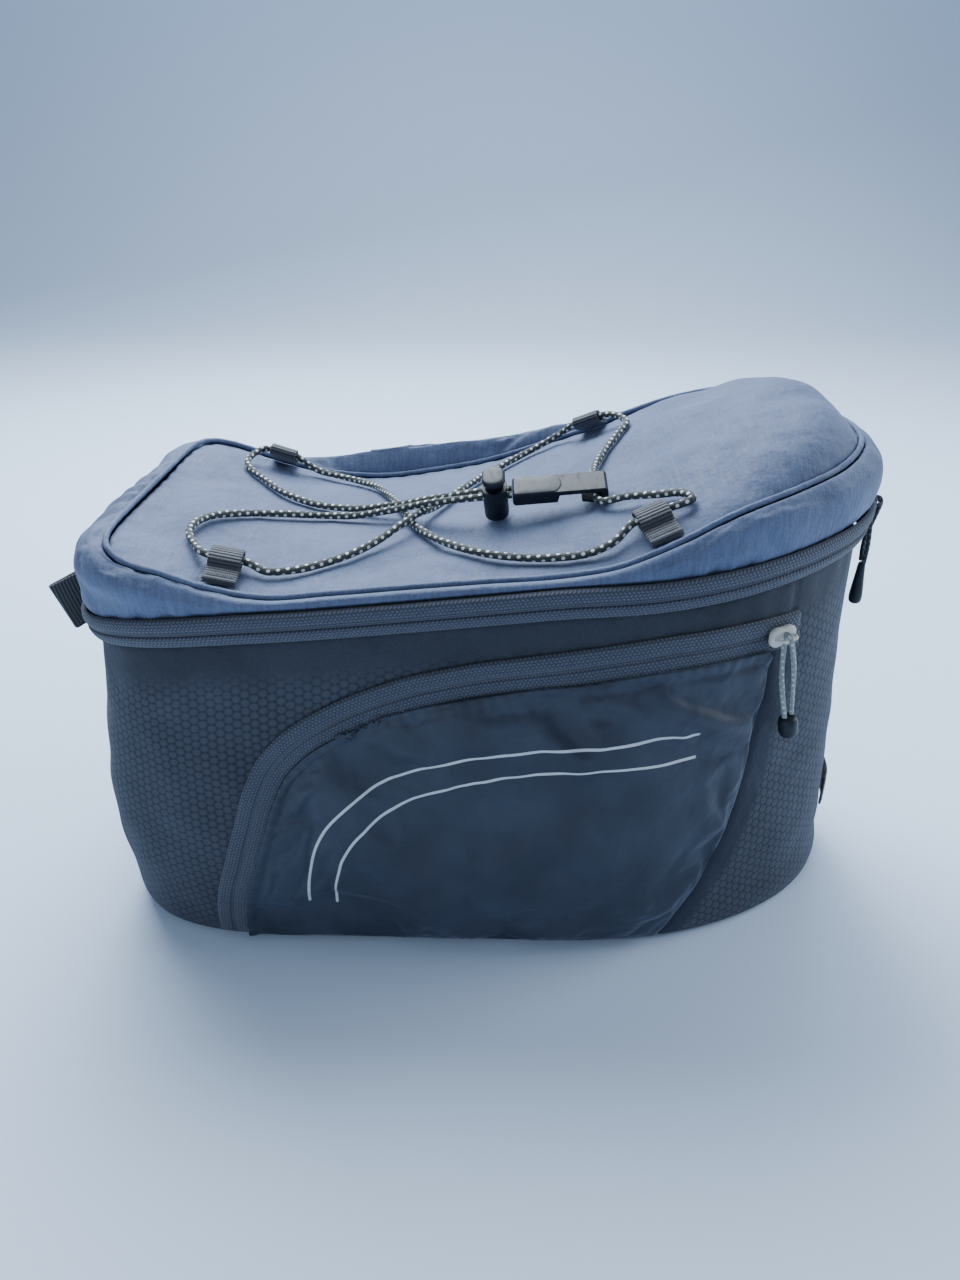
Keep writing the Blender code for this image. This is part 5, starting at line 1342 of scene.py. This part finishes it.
# sliders, pulls and their ends
slider = {
    "length": 15 * mm, "height": 10 * mm, "plate": 3.2 * mm, "bar": 0.8 * mm, "barHeight": 6.7 * mm,
    "square": 0.62,
    # the plate's side view: share of the outline, share of the plate's height
    "section": [
        (0.0, 0.0), (0.86, 0.0), (0.95, 0.04), (1.0, 0.22), (1.0, 0.62), (0.97, 0.80), (0.90, 0.93),
        (0.74, 1.02), (0.4, 1.08), (0.0, 1.10),
    ],
}
knob = [
    (0.0, 0.0), (0.35, 0.005), (0.60, 0.02), (0.80, 0.07), (0.93, 0.16), (1.00, 0.30), (1.00, 0.50),
    (0.99, 0.68), (0.90, 0.84), (0.70, 0.94), (0.42, 0.99), (0.0, 1.0),
]
teardrop = [
    (0.0, 0.0), (0.30, 0.002), (0.46, 0.012), (0.55, 0.05), (0.60, 0.12), (0.66, 0.24), (0.76, 0.40),
    (0.88, 0.58), (0.97, 0.74), (1.00, 0.84), (0.93, 0.92), (0.74, 0.97), (0.42, 0.995), (0.0, 1.0),
]


# A round piece: a profile of radii and distances turned about its own axis, which runs down -Y
def addTurned(name, shape, diameter, length, matrix, replaces):
    line = through(np.array(shape), 60)
    turn = np.linspace(0, 2 * pi, 48, endpoint=False)
    radius = np.maximum(line[:, 0], 0.004)[:, None] * diameter / 2
    down = -line[:, 1][:, None] * length + 0 * turn
    points = np.stack([radius * np.cos(turn), down, radius * np.sin(turn)], -1)
    around = np.linspace(0, 1, 49)
    uv = np.stack(np.broadcast_arrays(line[:, 1][:, None] * length, around[None] * 0.02), -1)
    return addPiece(name, placed(matrix, points), "black", uv=uv, closed=True, caps=(0, -1), flip=True,
                    replaces=replaces)


# A slider: rounded plate with a crowned face, made of shrinking outlines, and a bridge over it
def addSlider(name, node, finish):
    matrix = places[node]
    turn = np.linspace(0, 2 * pi, 64, endpoint=False)
    def bulged(value):
        return np.sign(value) * np.abs(value)**slider["square"]

    shape = np.column_stack([bulged(np.cos(turn)), bulged(np.sin(turn))])
    waist = 1 - 0.12 * np.exp(-((shape[:, 0] + 0.05) / 0.3)**2)
    shape = shape * np.column_stack([np.ones(64), waist]) * (slider["length"] / 2, slider["height"] / 2)
    rows = []
    for size, rise in slider["section"]:
        rows.append(np.column_stack([shape * max(size, 0.01), np.full(64, rise * slider["plate"])]))
    points = placed(matrix, np.array(rows))
    addPiece(name, points, finish, closed=True, caps=(0, -1), levels=1, replaces=[node])
    foot, base, lift = 0.33 * slider["length"], slider["plate"] * 0.8, slider["barHeight"]
    half = np.array([(0.4, lift), (0.8, lift - 0.3 * mm), (1.08, lift - 1.9 * mm), (1.12, base)])
    half = np.column_stack([half[:, 0] * foot, np.zeros(4), half[:, 1]])
    path = through(np.vstack([half[::-1] * (-1, 1, 1), half]), 40)
    addTube(name + "_bridge", placed(matrix, path), slider["bar"], finish,
            towards=directed(matrix, (0, 1, 0)), sides=12)


pulls = {
    "diameter": 2.5 * mm,
    "main": [
        (209.3, -2.1, 182.4), (209.3, -2.8, 188.9), (209.2, -3.1, 194.4), (208.9, -2.9, 199.8),
        (208.7, -2.3, 204.1), (208.3, -1.0, 209.2), (208.1, -0.3, 213.2), (208.1, -0.1, 215.5),
        (208.5, 0.0, 217.1), (208.7, 0.0, 217.7), (209.1, 0.0, 218.0), (209.6, 0.0, 218.4),
        (210.3, 0.0, 218.5), (210.8, 0.0, 218.5), (211.4, 0.0, 218.2), (211.9, 0.0, 217.9),
        (212.2, 0.0, 217.5), (212.5, 0.0, 216.5), (212.7, 0.1, 215.2), (212.5, 0.6, 212.8),
        (211.9, 1.5, 208.3), (211.1, 2.6, 203.0), (210.2, 3.0, 198.1), (209.4, 3.0, 193.1),
        (209.2, 2.8, 188.6), (209.3, 2.1, 182.4),
    ],
    "pocket": [
        (154.6, -82.3, 135.7), (152.5, -83.1, 144.0), (151.0, -83.5, 151.0), (149.7, -83.4, 158.3),
        (149.0, -83.2, 164.8), (148.7, -82.6, 172.3), (148.4, -82.3, 177.0), (148.3, -82.4, 178.9),
        (148.2, -82.8, 180.3), (148.3, -83.0, 180.7), (148.4, -83.3, 181.0), (148.6, -83.9, 181.4),
        (148.9, -84.4, 181.5), (149.1, -84.8, 181.5), (149.5, -85.4, 181.3), (149.7, -85.8, 181.0),
        (149.9, -86.0, 180.7), (150.2, -86.2, 179.8), (150.7, -86.3, 178.5), (151.3, -85.8, 176.6),
        (152.7, -84.7, 171.6), (154.5, -83.2, 164.3), (155.7, -81.8, 157.4), (156.6, -80.7, 150.6),
        (157.3, -80.3, 144.6), (158.2, -80.3, 136.4),
    ],
}


def addPull(name, route, towards, replaces, finish="pull"):
    path = through(np.array(route) * mm, 240)
    ob = addTube(name, path, pulls["diameter"] / 2, finish, towards=towards, sides=14, twist=14.0,
                 replaces=replaces)
    return ob


addSlider("mainSlider", "main_zip_slider", "black")
mainEnd = addTurned("mainPullEnd", teardrop, 7 * mm, 24 * mm, places["main_pull_end"], ["main_pull_end"])
addPull("mainPull", pulls["main"], (0, 1, 0), ["main_pull_cord"], "darkPull")
mirrored = [(x, -y, z) for x, y, z in pulls["pocket"]]
for label, route in (("near", pulls["pocket"]), ("far", mirrored)):
    addSlider("pocketSlider_" + label, "pocket_slider_" + label, "pale")
    end = addTurned("pocketKnob_" + label, knob, 9.5 * mm, 12 * mm, places["pocket_pull_knob_" + label],
                    ["pocket_pull_knob_" + label])
    addPull("pocketPull_" + label, route, directed(places["pocket_slider_" + label], (1, 0, 0)),
            ["pocket_pull_cord_" + label])
print("sliders and pulls")


# cord lock and hook
lock = {
    "width": 12 * mm, "depth": 16 * mm, "capFoot": 8.3 * mm, "cap": 3.2 * mm, "inset": 0.4 * mm,
    # the button's side view: inset in mm, share of the cap's height
    "section": [
        (0.55, 0.0), (0.30, 0.04), (0.08, 0.14), (0.0, 0.30), (0.0, 0.55), (0.12, 0.72), (0.45, 0.86),
        (1.1, 0.95), (2.2, 1.0), (3.6, 1.02), (5.0, 1.03),
    ],
}
hook = {"start": 8.5 * mm, "length": 46 * mm, "width": 14 * mm, "block": 6.5 * mm, "joint": 0.5}


def stadium(length, width, count):
    radius, run = width / 2, (length - width) / 2
    turn = np.linspace(0, pi, count)
    top = np.column_stack([radius * np.cos(turn), run + radius * np.sin(turn)])
    return np.vstack([top, -top])


# Loft through scaled outlines: each row is an outline inset by some distance, at a height
def addLoft(name, rows, matrix, finish, replaces, body="bag"):
    count = len(rows[0][0])
    points = np.array([np.column_stack([flat, np.full(count, height)]) for flat, height in rows])
    return addPiece(name, placed(matrix, points), finish, closed=True, caps=(0, -1), replaces=replaces,
                    body=body)


# A copy of a frame part, its triangles joined, its edges rounded
def addSoftened(name, node, width, finish):
    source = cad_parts[node]
    mesh = source.data.copy()
    mesh.name = name
    mesh.materials.clear()
    work = bmesh.new()
    work.from_mesh(mesh)
    bmesh.ops.remove_doubles(work, verts=work.verts, dist=1e-5)
    bmesh.ops.dissolve_limit(work, angle_limit=radians(1.5), verts=work.verts, edges=work.edges)
    work.to_mesh(mesh)
    work.free()
    ob = addObject(name, mesh, finishes[finish])
    bevel = ob.modifiers.new("round", "BEVEL")
    bevel.width = width
    bevel.segments = 3
    bevel.limit_method = "ANGLE"
    bevel.angle_limit = radians(32)
    weighted = ob.modifiers.new("even", "WEIGHTED_NORMAL")
    weighted.keep_sharp = False
    return attach(ob, [node])


def addLock():
    matrix = places["lock"]
    barrel = addSoftened("lockBarrel", "cord_lock_barrel", 0.45 * mm, "black")
    cap = lock["capFoot"]
    rows = []
    stem = (lock["depth"] - 4 * mm, lock["width"] - 4 * mm)
    rows.append((stadium(*stem, 24), -5.5 * mm))
    rows.append((stadium(*stem, 24), cap - 0.1 * mm))
    for inset, rise in lock["section"]:
        size = 2 * (lock["inset"] + inset * mm)
        rows.append((stadium(lock["depth"] - size, lock["width"] - size, 24), cap + rise * lock["cap"]))
    button = addLoft("lockButton", rows, matrix, "black", ["cord_lock_button"], body="lock_button")
    clip = addSoftened("cordHook", "cord_hook", 0.5 * mm, "black")
    # the tail's upper shell ends in a round line across the hook
    start, half, top = hook["start"], hook["width"] / 2, hook["block"] / 2
    turn = np.linspace(-pi / 2, pi / 2, 26)
    nose = start + hook["length"] * hook["joint"]
    roundEnd = np.column_stack([nose + 4.2 * mm * np.cos(turn) - 3.4 * mm, (half - 0.5 * mm) * np.sin(turn)])
    flatEnd = [(start + 1.2 * mm, half - 0.5 * mm), (start + 0.8 * mm, half - 1.2 * mm),
               (start + 0.8 * mm, 0), (start + 0.8 * mm, -half + 1.2 * mm),
               (start + 1.2 * mm, -half + 0.5 * mm)]
    shape = np.vstack([roundEnd, flatEnd])
    middle = np.array([start + 11 * mm, 0])
    rows = [(middle + (shape - middle) * size, top + rise * mm) for size, rise in
            ((1.0, -0.4), (1.0, 0.10), (0.985, 0.28), (0.955, 0.36), (0.5, 0.42), (0.02, 0.44))]
    shell = addLoft("hookShell", rows, matrix, "black", [])
    return [barrel, button, clip, shell]


cordFittings = addLock()
print("lock and hook")


# floor that rises smoothly behind
def addFloor():
    turn = np.linspace(0, pi / 2, 24)
    bend = 0.9
    rising = np.column_stack([1.6 + bend * np.sin(turn), bend - bend * np.cos(turn)])
    profile = np.vstack([[(-4.0, 0.0), (1.6, 0.0)], rising[1:], [(2.5, 3.2)]])
    xs = np.linspace(-5, 5, 12)
    points = np.stack(np.broadcast_arrays(xs[None], profile[:, :1], profile[:, 1:]), -1)
    mesh = bpy.data.meshes.new("floor")
    mesh.from_pydata(points.reshape(-1, 3).tolist(), [], gridFaces(len(profile), len(xs), False).tolist())
    addObject("floor", mesh, floorFinish())


addFloor()
